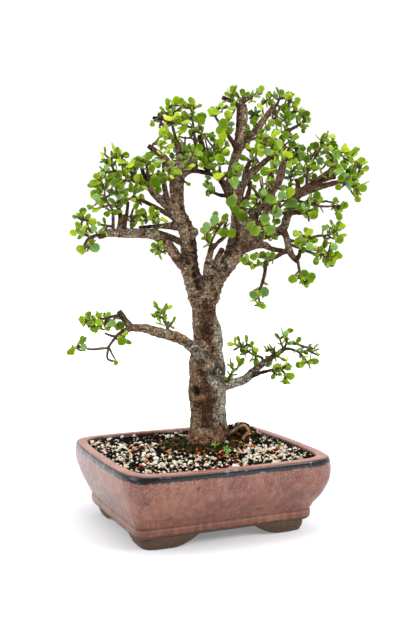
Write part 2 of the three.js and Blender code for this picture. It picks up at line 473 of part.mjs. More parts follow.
// Each leafy shoot: its main stem as x, z and depth, from the wood outwards, then its side twigs, each one
// or more points x, z and optionally depth. A side twig starts on the nearest stem already there.
const SHOOTS = {
  low_left_branch_end: [[[-130, 338.5, -50], [-141, 334, -52], [-147, 325, -56], [-148, 319, -57]],
    [[-152, 343, -54], [-148, 356], [-147, 368]], [[-158, 343]], [[-157, 362]], [[-140, 357]], [[-137, 327]], [[-142, 344, -69]]],
  low_left_branch_rise: [[[-112, 344, -44], [-112, 358, -48], [-113, 368, -51], [-121, 382, -54], [-122, 397, -54]],
    [[-124, 350], [-133, 352]], [[-124, 340]], [[-131, 384]], [[-136, 399]], [[-128, 409]], [[-130, 372]], [[-113, 388]]],
  low_left_branch_fan: [[[-105, 369, -33], [-106, 384, -36], [-111, 401, -39]],
    [[-112, 375]], [[-100, 398, -15]], [[-96, 386, -45]], [[-88, 381, -33]], [[-82, 393, -21]], [[-104, 408, -51]]],
  left_outer_end: [[[-97, 409, -35], [-110, 414, -39], [-116, 431, -42]],
    [[-128, 429]], [[-124, 437]], [[-120, 416]], [[-107, 439]], [[-94, 433]], [[-101, 424, -54]], [[-127, 414, -30]]],
  left_outer_middle: [[[-87, 403, -30], [-90, 414, -27], [-92, 424, -21]],
    [[-106, 405, -51]], [[-96, 412, -45]], [[-84, 424]], [[-99, 418, -6]]],
  left_outer_inner: [[[-71, 397, -22], [-72, 420, -26], [-82, 431, -28]],
    [[-82, 404, -36]], [[-79, 394, -45]], [[-72, 431]], [[-64, 408, -39]], [[-86, 422]]],
  left_rise_end: [[[-52, 404, -22], [-53, 426, -26], [-60, 434, -27], [-69, 443, -30]],
    [[-62, 405, -39]], [[-61, 424, -42]], [[-63, 448]], [[-55, 457, -15]], [[-56, 446, -36]], [[-44, 421, -33]], [[-46, 440, -30]]],
  left_low_bend: [[[-60, 341, -26], [-62, 352, -27], [-68, 362, -30]], [[-58, 366]], [[-79, 366]], [[-57, 356]], [[-80, 355]]],
  left_low_middle: [[[-90, 343, -38], [-90, 362, -28], [-85, 377, -24]], [[-79, 385]], [[-77, 373]], [[-97, 360]], [[-86, 352]]],
  left_low_sucker: [[[-44, 324, -12], [-53, 318, -18], [-59, 320, -21]], [[-62, 327]], [[-54, 325]], [[-58, 314]]],
  left_top: [[[-37, 449, 14], [-42, 469, 9], [-46, 482, 8], [-47, 491, 6]],
    [[-54, 483]], [[-39, 495]], [[-34, 486, 24]], [[-54, 474], [-64, 474]], [[-58, 462]], [[-52, 455, -12]], [[-36, 474, -9]]],
  left_top_right: [[[-13, 413, 15], [-15, 451, 12], [-18, 476, 9], [-20, 491, 8]],
    [[-11, 491]], [[-28, 490]], [[-9, 479]], [[-27, 478]], [[-5, 465]], [[-27, 467]], [[1, 456, 24]], [[-22, 455, 27]]],
  left_inner_end: [[[1, 410, 21], [4, 424, 21], [7, 436, 18]], [[-8, 428, 12], [-10, 440, 9]], [[-1, 441, 30]], [[10, 446, 6]],
    [[10, 418, 33]], [[-1, 399]], [[-4, 424, 0]]],
  left_upright_side: [[[-33, 427, 14], [-26, 438, 18], [-18, 446, 21]], [[-34, 440, 30]], [[-27, 430, 33]], [[-12, 434, 30]],
    [[-22, 424, 3]]],
  left_upright_low: [[[-34, 404, 9], [-27, 403, 3]], [[-23, 400]], [[-31, 416, -9]], [[-22, 416, -15]]],
  front_left_cloud: [[[-42, 407, -84], [-40, 424, -93], [-32, 440, -99]],
    [[-50, 424, -105]], [[-44, 438, -114]], [[-24, 430, -90]], [[-14, 438, -81]], [[-38, 412, -111]], [[-52, 410, -75]],
    [[-26, 416, -108]], [[-22, 450, -108]]],
  back_left_cloud: [[[-24, 423, 84], [-26, 440, 96], [-34, 454, 105]],
    [[-10, 438, 90]], [[-14, 424, 105]], [[-44, 446, 90]], [[-38, 430, 111]], [[-26, 458, 84]], [[-20, 440, 123]], [[-42, 416, 93]]],
  fork_shoot_end: [[[2, 325, -15], [6, 334, -14], [13, 345, -12]], [[-5, 337]], [[5, 350]], [[24, 345]], [[14, 329, -24]], [[15, 354]]],
  centre_twig_end: [[[8, 388, -9], [3, 391, -10], [-1, 398, -12]], [[-1, 387]], [[8, 398]]],
  centre_left: [[[17.5, 464, -3], [10, 476, -8], [2, 484, -9]], [[14, 492]], [[14, 472, -21]], [[26, 478, 3]], [[28, 490]],
    [[22, 468, 15]]],
  centre_top: [[[41, 491, 12], [42, 498, 12], [41, 507, 12]],
    [[30, 494], [18, 499]], [[30, 508]], [[24, 503, -6]], [[52, 500], [63, 510]], [[53, 504, 30]], [[52, 494, -6]], [[34, 500, 30]]],
  centre_right_end: [[[79, 487, 36], [84, 496, 39], [86, 508, 40]],
    [[72, 506]], [[98, 503]], [[92, 496, 21]], [[104, 493]], [[68, 495]], [[61, 490, 21]], [[90, 487, 54]], [[80, 476, 51]]],
  centre_right_low: [[[58, 460, 26], [56, 470, 22], [57, 482, 21]], [[50, 488]], [[48, 474]], [[64, 478, 9]], [[46, 462, 36]]],
  right_upright_rise: [[[88, 450, 27], [93, 465, 30], [98, 479, 32]],
    [[104, 491]], [[109, 484]], [[92, 478, 15]], [[84, 471]], [[78, 465, 39]], [[104, 453]], [[96, 456, 45]]],
  right_upright_end: [[[97.5, 462, 28], [112, 470, 26], [121, 474, 24]], [[113, 486]], [[118, 480]], [[114, 463]], [[104, 474, 39]]],
  right_upright_side: [[[92, 429, 28], [94, 440, 21], [90, 446, 15]], [[82, 446]], [[100, 444]], [[112, 441]], [[101, 428, 39]],
    [[88, 434, 6]], [[104, 434, 12]]],
  centre_front_end: [[[78, 431, -24], [76, 440, -27], [72, 450, -30]], [[64, 456]], [[84, 448]], [[64, 440]], [[86, 434, -39]],
    [[74, 432, -42]], [[58, 450, -12]]],
  centre_front_middle: [[[54, 411, -15], [54, 424, -18], [52, 440, -18]], [[60, 430, -30]], [[44, 428]], [[60, 444]], [[44, 442, -27]],
    [[64, 420, -33]]],
  centre_low: [[[26, 395, 4], [17, 406, -3], [14, 422, -6], [15, 440, -9]],
    [[25, 410, -15]], [[10, 412]], [[24, 424]], [[34, 404, -21]], [[6, 430]], [[10, 450]], [[24, 446, -3]], [[20, 434, -21]],
    [[36, 420, -27]]],
  back_cloud: [[[56, 419, 93], [58, 436, 102], [66, 452, 108]],
    [[44, 432, 90]], [[72, 440, 99]], [[56, 456, 117]], [[80, 456, 96]], [[40, 450, 105]], [[62, 468, 99]], [[74, 424, 111]],
    [[46, 420, 117]], [[50, 472, 90]]],
  front_cloud: [[[78, 387, -84], [82, 400, -93], [84, 416, -99]],
    [[70, 404, -99]], [[94, 408, -90]], [[76, 428, -105]], [[96, 426, -99]], [[66, 418, -87]], [[90, 392, -105]], [[66, 390, -93]],
    [[86, 438, -90]]],
  right_rise_side: [[[107, 382.5, -6], [117, 398, 3], [118, 412, 9], [129, 433, 15], [138, 445, 18]],
    [[134, 453]], [[144, 458]], [[152, 451]], [[128, 442]], [[123, 431, 30]], [[112, 420, -6]], [[105, 425, 18]], [[112, 406, 24]],
    [[126, 420, -12]]],
  right_far_rise_end: [[[127.5, 402.5, -15], [140, 412, -15], [152, 420, -18]],
    [[138, 404, 0], [150, 413, 9]], [[149, 441]], [[154, 431]], [[162, 440, -30]], [[142, 428, -27]], [[156, 414, -30]],
    [[168, 430, 3]], [[176, 439, -9]], [[162, 422, 18]], [[132, 414, -36]]],
  right_far_end: [[[164, 402, -3], [173, 404, -3], [180, 412, -4]],
    [[184, 427]], [[186, 415]], [[170, 413, 12]], [[186, 394]], [[176, 395, -18]], [[179, 384]], [[157, 393, -12]], [[166, 390, 12]],
    [[162, 410, -21]]],
  right_upright_low: [[[88, 406, 21], [98, 406, 15], [104, 412, 9]], [[110, 412, 21]], [[100, 396, 3]], [[94, 393, -6]], [[98, 420, -6]]],
  right_arch_end: [[[110, 364, -22], [119, 362, -24]], [[126, 361]], [[121, 353]], [[117, 371]]],
  right_outer_twig: [[[98, 375, -6], [108, 378, -3], [128, 373, 0], [142, 372, 0], [152, 373, 2]],
    [[161, 374]], [[156, 363]], [[134, 381]], [[104, 388, 12]], [[90, 384, 9]], [[114, 368, 12]], [[124, 384, -12]], [[144, 380, 12]]],
  right_outer_low: [[[70, 339, -3], [70, 346, -6], [68, 354, -8]], [[59, 346]], [[76, 346]], [[80, 334, -15]], [[63, 360, 6]]],
  right_upright_base: [[[62, 371, 10], [70, 370, 3], [77, 373, -3]], [[84, 366]], [[66, 386, -3]], [[54, 374, -9]], [[80, 382]],
    [[44, 364, -12]]],
  right_low_twig: [[[94, 328, -9], [104, 325, -14], [124, 317, -18], [138, 314, -22], [149, 306, -27]],
    [[143, 316]], [[157, 314]], [[144, 302]], [[131, 310]], [[124, 325]], [[136, 321]], [[113, 327, -27]]],
  right_low_outer: [[[94, 333, -9], [107, 331, -12], [130, 337, -16], [142, 338, -18], [154, 346, -21]],
    [[152, 350, -6]], [[160, 349]], [[157, 335]], [[140, 348]], [[145, 326]], [[122, 344]], [[110, 341]], [[127, 329, -30]]],
  right_low_end: [[[107.7, 305.7, -30], [110, 294, -33], [115, 282, -36], [120, 275, -39]], [[103, 286]], [[112, 290]], [[122, 288]]],
  right_low_left_end: [[[79, 311, -29], [68, 305.7, -32], [60, 302, -33]],
    [[68.5, 297, -32], [65, 284, -32], [59, 264, -33]], [[50, 303]], [[44, 309]], [[62, 314]], [[72, 317]], [[67, 270]], [[64, 254]]],
  low_left_end: [[[-102, 242, -45], [-111, 242, -45], [-127, 238, -46], [-139, 235.5, -48]],
    [[-151, 236]], [[-144, 244]], [[-132, 246]], [[-145, 228]], [[-135, 225]], [[-120, 247]], [[-124, 229]], [[-112, 231, -36]]],
  low_left_drop: [[[-102.5, 223, -51], [-109, 217.5, -51], [-118, 205.5, -52], [-122.5, 200, -52]],
    [[-138, 202], [-149, 203.5]], [[-155, 212]], [[-165, 200]], [[-120, 192], [-109, 184]], [[-126, 223.5]], [[-101, 211, -54]]],
  low_left_shoot: [[[-46, 222, -33], [-51, 238, -36], [-54, 249, -38]], [[-61, 253]], [[-47, 253]], [[-62, 240]], [[-48, 241]],
    [[-39, 238, -24]]],
  low_right_base: [[[23, 163, -9], [28, 172, -15], [36, 180, -18]], [[25, 186]], [[33, 176]], [[41, 187]]],
  low_right_diagonal: [[[66, 186, 4], [65, 192, 3], [54, 196, 0], [40, 206, -3]],
    [[36, 216]], [[29, 211]], [[49, 211]], [[56, 205]], [[43, 195]], [[56, 189, -9]]],
  low_right_middle: [[[78, 193, 8], [80, 200, 4], [78, 206, 3]], [[67, 203]], [[89, 192, -6]], [[74, 192, 18]]],
  low_right_end: [[[91, 202, 9], [99, 202.5, 8], [110, 198, 6], [119, 188, 4]],
    [[95, 212], [93, 222]], [[85, 219]], [[99, 225]], [[111, 211]], [[123, 204]], [[134, 203]], [[135, 195]], [[124, 182]], [[112, 184]]],
  low_right_dark_end: [[[74, 176.5, -12], [84, 179, -14], [91, 179.4, -15]], [[97, 184]], [[86, 171]], [[96, 170]], [[92, 163]]],
};

// Leaf rule. Pairs stand crosswise along a stem, from its tip backwards; each leaf is given by where it
// starts, its direction, its width direction, its upper side, its length and its width.
const PAIRS = [
  { spread: 42, size: 0.86 },
  { spread: 60, size: 1 },
  { spread: 70, size: 1.04 },
  { spread: 78, size: 0.95 },
];

function alongPath(points, distanceFromEnd) {
  let left = distanceFromEnd;
  for (let i = points.length - 1; i > 0; i -= 1) {
    const step = points[i].distanceTo(points[i - 1]);
    const tangent = points[i].clone().sub(points[i - 1]).normalize();
    if (left <= step) return { at: points[i].clone().addScaledVector(tangent, -left), tangent };
    left -= step;
  }
  return null;
}

function leavesOf(points, random, pairs, scale = 1) {
  const leaves = [];
  const turnStart = random() * 180;
  PAIRS.forEach(({ spread, size }, k) => {
    const turnNoise = (random() - 0.5) * 40;
    const node = alongPath(points, FIRST_PAIR + k * PAIR_STEP * scale);
    for (const half of [0, 180]) {
      const draws = [random(), random(), random(), random()];
      if (!node || k >= pairs) continue;
      const { at, tangent } = node;
      const level = new THREE.Vector3(tangent.y, -tangent.x, 0);
      const first = level.length() > 0.44 ? level.normalize() : new THREE.Vector3(1, 0, 0);
      first.addScaledVector(tangent, -first.dot(tangent)).normalize();
      const second = tangent.clone().cross(first);
      const turn = THREE.MathUtils.degToRad(turnStart + 90 * k + half + turnNoise);
      const lean = THREE.MathUtils.degToRad(spread + (draws[0] - 0.5) * 30);
      const out = first.multiplyScalar(Math.cos(turn)).addScaledVector(second, Math.sin(turn));
      const direction = tangent.clone().multiplyScalar(Math.cos(lean)).addScaledVector(out, Math.sin(lean));
      direction.z += LEAF_LIFT;
      direction.normalize();
      const sideways = tangent.clone().cross(direction).normalize();
      const steep = direction.clone().cross(sideways);
      const roll = THREE.MathUtils.degToRad((draws[3] - 0.5) * 50);
      const across = sideways.multiplyScalar(Math.cos(roll)).addScaledVector(steep, Math.sin(roll));
      const upper = direction.clone().cross(across);
      if (upper.dot(tangent) < 0) upper.negate();
      const length = LEAF_LENGTH * scale * size * (0.7 + 0.7 * draws[1]);
      leaves.push({ at, tangent, out, direction, across, upper, length, width: length * (0.78 + 0.2 * draws[2]) });
    }
  });
  return leaves;
}

// Half outline of a leaf beyond its root, as shares of its length and width, and where it is thickest
const LEAF_OUTLINE = [[0.55, 0.5], [0.9, 0.34]];
const LEAF_MIDDLE = 0.6;

function leafPoint({ at, direction, across, upper, length, width }, along, wide, high, grow) {
  return at.clone()
    .addScaledVector(direction, length * along + (along > 0.5 ? grow : -grow))
    .addScaledVector(across, width * wide + Math.sign(wide) * grow)
    .addScaledVector(upper, high + LEAF_CUP * length * (along - 0.5) ** 2);
}

// The room that a leaf takes, with a clearance round it
function leafRoom(leaf, grow) {
  const edge = [
    leafPoint(leaf, 0, 0, 0, grow),
    ...LEAF_OUTLINE.map(([along, wide]) => leafPoint(leaf, along, wide, 0, grow)),
    ...LEAF_OUTLINE.slice().reverse().map(([along, wide]) => leafPoint(leaf, along, -wide, 0, grow)),
  ];
  const thick = LEAF_THICKNESS / 2 + grow;
  const middles = [thick, -thick].map((high) => leafPoint(leaf, LEAF_MIDDLE, 0, high, grow));
  const vertices = [...edge, ...middles].flatMap((p) => [p.x, p.y, p.z]);
  const triangles = [];
  const leftHanded = leaf.direction.clone().cross(leaf.across).dot(leaf.upper) < 0;
  const [top, bottom] = leftHanded ? [edge.length + 1, edge.length] : [edge.length, edge.length + 1];
  for (let k = 0; k < edge.length; k += 1) {
    const next = (k + 1) % edge.length;
    triangles.push(k, next, top, next, k, bottom);
  }
  return solid(vertices, triangles);
}

// A four-sided stem whose leaves grow out of its sides as one skin
function leafyStem(points, leaves, isMain, scale = 1) {
  const base = isMain ? STEM_RADIUS * 1.3 : STEM_RADIUS;
  const total = points.reduce((sum, p, i) => (i === 0 ? 0 : sum + p.distanceTo(points[i - 1])), 0);
  const step = PAIR_STEP * scale;
  const lowest = FIRST_PAIR + step * (leaves.length / 2 - 1) + 2 * RING_HALF;
  const stations = [];
  let run = 0;
  points.forEach((point, i) => {
    if (i > 0) run += point.distanceTo(points[i - 1]);
    if (i === 0 || (isMain && total - run > lowest)) stations.push({ centre: point, run });
  });
  const pairs = leaves.length / 2;
  for (let k = pairs - 1; k >= 0; k -= 1) {
    const pair = leaves.slice(2 * k, 2 * k + 2);
    const { at, tangent } = pair[0];
    const middle = total - FIRST_PAIR - k * step;
    stations.push({ centre: at.clone().addScaledVector(tangent, -RING_HALF), run: middle - RING_HALF, pair });
    stations.push({ centre: at.clone().addScaledVector(tangent, RING_HALF), run: middle + RING_HALF, after: true });
  }
  const end = points[points.length - 1];
  const vertices = [];
  const triangles = [];
  const put = (p) => vertices.push(p.x, p.y, p.z) / 3 - 1;
  let side = null;
  let turn = 0;
  let previous = null;
  let pending = [];
  stations.forEach((station, i) => {
    const next = i + 1 < stations.length ? stations[i + 1].centre : end;
    const before = i > 0 ? stations[i - 1].centre : station.centre;
    const tangent = next.clone().sub(before).normalize();
    if (!side) side = Math.abs(tangent.z) < 0.9 ? new THREE.Vector3(0, 0, 1) : new THREE.Vector3(1, 0, 0);
    side.addScaledVector(tangent, -side.dot(tangent)).normalize();
    const other = tangent.clone().cross(side);
    const facing = station.pair ? Math.atan2(station.pair[0].out.dot(other), station.pair[0].out.dot(side)) : null;
    if (facing !== null) {
      const quarter = Math.PI / 2;
      const difference = facing + quarter / 2 - turn;
      turn += difference - quarter * Math.round(difference / quarter);
    }
    const radius = base + (TIP_RADIUS - base) * station.run / total;
    const ring = [0, 1, 2, 3].map((k) => {
      const angle = turn + k * Math.PI / 2;
      return put(station.centre.clone().addScaledVector(side, radius * Math.cos(angle)).addScaledVector(other, radius * Math.sin(angle)));
    });
    if (previous) {
      for (let k = 0; k < 4; k += 1) {
        const corners = [previous[k], previous[(k + 1) % 4], ring[(k + 1) % 4], ring[k]];
        const leaf = pending.find((one) => one.face === k);
        if (leaf) growLeaf(leaf.leaf, corners, vertices, triangles, put);
        else triangles.push(corners[0], corners[1], corners[2], corners[0], corners[2], corners[3]);
      }
    } else {
      triangles.push(ring[0], ring[2], ring[1], ring[0], ring[3], ring[2]);
    }
    pending = [];
    if (station.pair) {
      station.pair.forEach((leaf, half) => {
        const face = Math.round((facing - turn - Math.PI / 4) / (Math.PI / 2)) + 2 * half;
        if (!leaf.dropped) pending.push({ leaf, face: ((face % 4) + 4) % 4 });
      });
    }
    previous = ring;
  });
  const tip = put(end);
  for (let k = 0; k < 4; k += 1) triangles.push(previous[k], previous[(k + 1) % 4], tip);
  return solid(vertices, triangles);
}

// The skin of one leaf between the four corners of the stem's side that it grows from
function growLeaf(leaf, [a, b, c, d], vertices, triangles, put) {
  const corner = (i) => new THREE.Vector3(vertices[3 * i], vertices[3 * i + 1], vertices[3 * i + 2]);
  const toRight = corner(b).sub(corner(a)).dot(leaf.across) > 0 ? 1 : -1;
  const [r1, r2] = LEAF_OUTLINE.map(([along, wide]) => put(leafPoint(leaf, along, toRight * wide, 0, 0)));
  const [l1, l2] = LEAF_OUTLINE.map(([along, wide]) => put(leafPoint(leaf, along, -toRight * wide, 0, 0)));
  const top = put(leafPoint(leaf, LEAF_MIDDLE, 0, LEAF_THICKNESS / 2, 0));
  const under = put(leafPoint(leaf, LEAF_MIDDLE, 0, -LEAF_THICKNESS / 2, 0));
  triangles.push(a, b, under, b, r1, under, r1, r2, under, r2, l2, under, l2, l1, under, l1, a, under);
  triangles.push(c, d, top, d, l1, top, l1, l2, top, l2, r2, top, r2, r1, top, r1, c, top);
  triangles.push(b, c, r1, d, a, l1);
}

// The place nearest to a point on stems already laid
function nearest(stems, point) {
  let best = null;
  for (const stem of stems) {
    for (let i = 0; i + 1 < stem.length; i += 1) {
      const line = new THREE.Line3(stem[i], stem[i + 1]);
      const on = line.closestPointToPoint(point, true, new THREE.Vector3());
      const far = on.distanceTo(point);
      if (!best || far < best.far) best = { on, far, back: stem[i].clone().sub(stem[i + 1]).normalize(), run: on.distanceTo(stem[i]) };
    }
  }
  return best.on.clone().addScaledVector(best.back, Math.min(best.run, 0.3 * best.far));
}

const TWIG_STEPS = 3;
const TIP_BACK = 5;                // a stem ends this far before the place given for its last leaves
const DEPTH_SPREAD = 40;

// All stems of one shoot, each as points in the pot's axes, the main one first
function stemsOf([main, ...sides], random) {
  const stems = [main.map(([x, z, y]) => seen(x, z, y))];
  for (const side of sides) {
    let depth = main[main.length - 1][2];
    const noise = (random() - 0.5) * DEPTH_SPREAD;
    const points = side.map(([x, z, y], i) => {
      depth = y ?? (i === 0 ? depth + noise : depth);
      return seen(x, z, depth);
    });
    const start = nearest(stems, points[0]);
    if (points.length > 1) {
      stems.push([start, ...points]);
    } else {
      const end = points[0];
      const sag = 0.14 * start.distanceTo(end);
      const control = start.clone().add(end).multiplyScalar(0.5);
      control.z -= sag;
      stems.push(Array.from({ length: TWIG_STEPS + 1 }, (_, k) => {
        const t = k / TWIG_STEPS;
        return start.clone().multiplyScalar((1 - t) ** 2).addScaledVector(control, 2 * t * (1 - t)).addScaledVector(end, t * t);
      }));
    }
  }
  for (const stem of stems) {
    const [before, end] = stem.slice(-2);
    const step = before.distanceTo(end);
    end.addScaledVector(before.clone().sub(end).normalize(), Math.min(TIP_BACK, 0.6 * step));
  }
  return stems;
}

// The room of a bare stem, with a clearance round it
function stemRoom(points, isMain) {
  const base = isMain ? STEM_RADIUS * 1.3 : STEM_RADIUS;
  const radii = points.map((_, i) => base + (TIP_RADIUS - base) * i / (points.length - 1));
  return sweep(points, radii, 4, { grow: GAP });
}

// One shoot clear of everything already there; leaves that would touch another piece are left out
function shoot(description, seed, taken) {
  const random = makeRandom(seed);
  const stems = stemsOf(description, random);
  const kept = stems.slice(0, 1 + Math.round((stems.length - 1) * TWIG_SHARE));
  const stemRooms = kept.map((points, i) => stemRoom(points, i === 0));
  let space = join(stemRooms);
  const near = join(taken.filter((one) => boxesMeet(one.boundingBox(), space.boundingBox(), 2 * LEAF_LENGTH)));
  const placed = [];
  const solids = kept.map((points, i) => {
    const leaves = leavesOf(points, random, i === 0 ? MAIN_PAIRS : SIDE_PAIRS);
    const rest = [near, ...placed, ...stemRooms.filter((_, k) => k !== i)];
    for (const leaf of leaves) {
      const room = leafRoom(leaf, GAP);
      leaf.dropped = rest.some((one) => !room.intersect(one).isEmpty());
      if (!leaf.dropped) placed.push(room);
    }
    return leafyStem(points, leaves, i === 0);
  });
  space = join([space, ...placed]);
  const body = largest(join(solids).subtract(near));
  return { body, space };
}

function boxesMeet(a, b, margin) {
  return [0, 1, 2].every((k) => a.min[k] - margin < b.max[k] && b.min[k] - margin < a.max[k]);
}



const woodBody = wood(0);
const woodSpace = wood(GAP);

addNode('pot', pot(), COLOUR.glaze);
for (const [name, side] of [['drain_screen_left', -1], ['drain_screen_right', 1]]) {
  addNode(name, drainScreen(side * DRAIN_APART / 2), COLOUR.mesh);
}

// Weed seedlings stand in holes in the soil, at x and y of the tree's own axes
const SEEDLINGS = {
  weed_seedling_front: { x: 21, y: -62, height: 11, scale: 0.5, pairs: 3 },
  weed_seedling_trunk: { x: 8, y: -40, height: 8, scale: 0.42, pairs: 2 },
};
const SEEDLING_ROOT = 7;

function seedlingStem({ x, y, height }) {
  const level = groundHeight(x, y);
  return [place(x, level - SEEDLING_ROOT, y), place(x + 1, level + height, y - 1)];
}

let ground = soil().subtract(woodSpace)
  .subtract(screenSpace(-DRAIN_APART / 2)).subtract(screenSpace(DRAIN_APART / 2));
Object.entries(SEEDLINGS).forEach(([name, seedling], i) => {
  const points = seedlingStem(seedling);
  const leaves = leavesOf(points, makeRandom(40 + i), seedling.pairs, seedling.scale);
  ground = ground.subtract(stemRoom(points, false));
  addNode(name, leafyStem(points, leaves, false, seedling.scale), COLOUR.weed);
});
addNode('soil', largest(ground), COLOUR.soil);
addNode('tree_wood', largest(woodBody), COLOUR.bark);

const taken = [woodSpace];
Object.entries(SHOOTS).forEach(([name, description], i) => {
  const { body, space } = shoot(description, 100 + i, taken);
  taken.push(space);
  addNode(`shoot_${name}`, body, COLOUR.leaf);
});

// The origin goes to the floor under the middle of the whole object's box
const bounds = new THREE.Box3().setFromObject(bonsai);
const middle = bounds.getCenter(new THREE.Vector3());
bonsai.position.set(-middle.x, -middle.y, -bounds.min.z);

export default bonsai;
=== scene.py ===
"""The looks of a dwarf jade bonsai in a glazed bracket-foot pot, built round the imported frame.

Sizes are in millimetres until a mesh is made. Like the solids, the tree is described as it is seen from the
front viewpoint: x to the viewer's right, y away from the viewer, z up. The pot has its long side along X.
"""
import math

import bmesh
import bpy
import numpy as np
from mathutils import Matrix, Vector
from mathutils.geometry import intersect_point_line
from mathutils.kdtree import KDTree


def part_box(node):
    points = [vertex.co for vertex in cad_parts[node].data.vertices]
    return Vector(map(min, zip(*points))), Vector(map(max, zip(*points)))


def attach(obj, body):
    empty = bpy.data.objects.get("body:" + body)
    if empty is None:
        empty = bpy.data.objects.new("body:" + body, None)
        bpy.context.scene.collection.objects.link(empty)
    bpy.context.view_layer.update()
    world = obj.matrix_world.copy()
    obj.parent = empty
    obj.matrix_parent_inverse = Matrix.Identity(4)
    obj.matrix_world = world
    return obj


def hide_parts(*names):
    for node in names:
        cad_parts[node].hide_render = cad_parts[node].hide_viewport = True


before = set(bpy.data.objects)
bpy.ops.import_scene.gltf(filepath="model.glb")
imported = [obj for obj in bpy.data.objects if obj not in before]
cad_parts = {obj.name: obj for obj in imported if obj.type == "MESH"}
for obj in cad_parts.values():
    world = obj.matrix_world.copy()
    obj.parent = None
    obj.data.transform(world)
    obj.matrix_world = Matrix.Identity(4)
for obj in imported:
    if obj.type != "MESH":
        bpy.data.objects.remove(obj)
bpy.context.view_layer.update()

MM = 0.001

# The pot, with the frame's place for its centre
POT_LENGTH = 254
POT_WIDTH = 245
POT_HEIGHT = 88
RIM_SQUARENESS = 10
RIM_BOW = 0.05
BASE_SQUARENESS = 20
FRONT_LEAN = 13
FULL_LEAN_INSET = 16
RIM_WIDTH = 12.5
FLOOR_TOP = 25
DRAIN_DIAMETER = 16
DRAIN_APART = 110
pot_low, pot_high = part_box("pot")
POT_CENTRE = Vector(((pot_low.x + pot_high.x) / 2 / MM, (pot_low.y + pot_high.y) / 2 / MM, 0))

# Its bracket feet
FOOT_HEIGHT = 12
FOOT_BAND = 13
FOOT_TAPER = 2.5
FOOT_INSET = 27
FOOT_FRONT_INSET = 35
FOOT_SQUARENESS = 12
FOOT_REACH = 62
FOOT_FLAT = 30
FOOT_SUNK = 2
FOOT_BULGE = 1.6
FOOT_RISE_CURVE = 1.8

# Where the tree stands and how it is turned, and the front viewpoint in the tree's own axes
TREE_TURN = math.radians(-23.92)
TURN_COS = math.cos(TREE_TURN)
TURN_SIN = math.sin(TREE_TURN)
TREE_RIGHT = 12
TREE_BACK = 16
EYE = Vector((0.6, -1032.5, 301.7))

# The ground: its height at the front, at the back and at the wall, and its mounds as x, y, rise and spread
SOIL_FRONT = 85.5
SOIL_BACK = 84.5
SOIL_EDGE = 84
MOUNDS = [(0, 0, 12, 48), (43, 22, 20.5, 23)]

# Leaves and young stems
LEAF_LENGTH = 11
LEAF_THICKNESS = 1.5
LEAF_ROUNDNESS = 0.66
NARROW_LEAF = 0.42
LEAF_CUP = 0.12
LEAF_LIFT = 0.18
FIRST_PAIR = 2.2
PAIR_STEP = 6.3
STEM_RADIUS = 1.6
TIP_RADIUS = 0.95
TIP_BACK = 5
TWIG_STEPS = 3
DEPTH_SPREAD = 40

# The trunk: height, middle and radius, read upwards from its foot in the soil
TRUNK = [
    (58, 1, 17), (72, 1, 22), (88, 0.5, 24.5), (100, 1, 24), (110, 1.3, 23), (121, 1.3, 21.6),
    (140, 0.5, 21.9), (151, -0.7, 23), (166, -0.5, 22), (181, 0, 22.3), (191, -1.2, 20.6),
    (202, -1, 18.8), (212, 1, 18), (228, -0.5, 16.6), (241, -3.5, 14.4), (251, -4.5, 14.6),
    (261, -5.3, 16), (271, -5.3, 17.5),
]

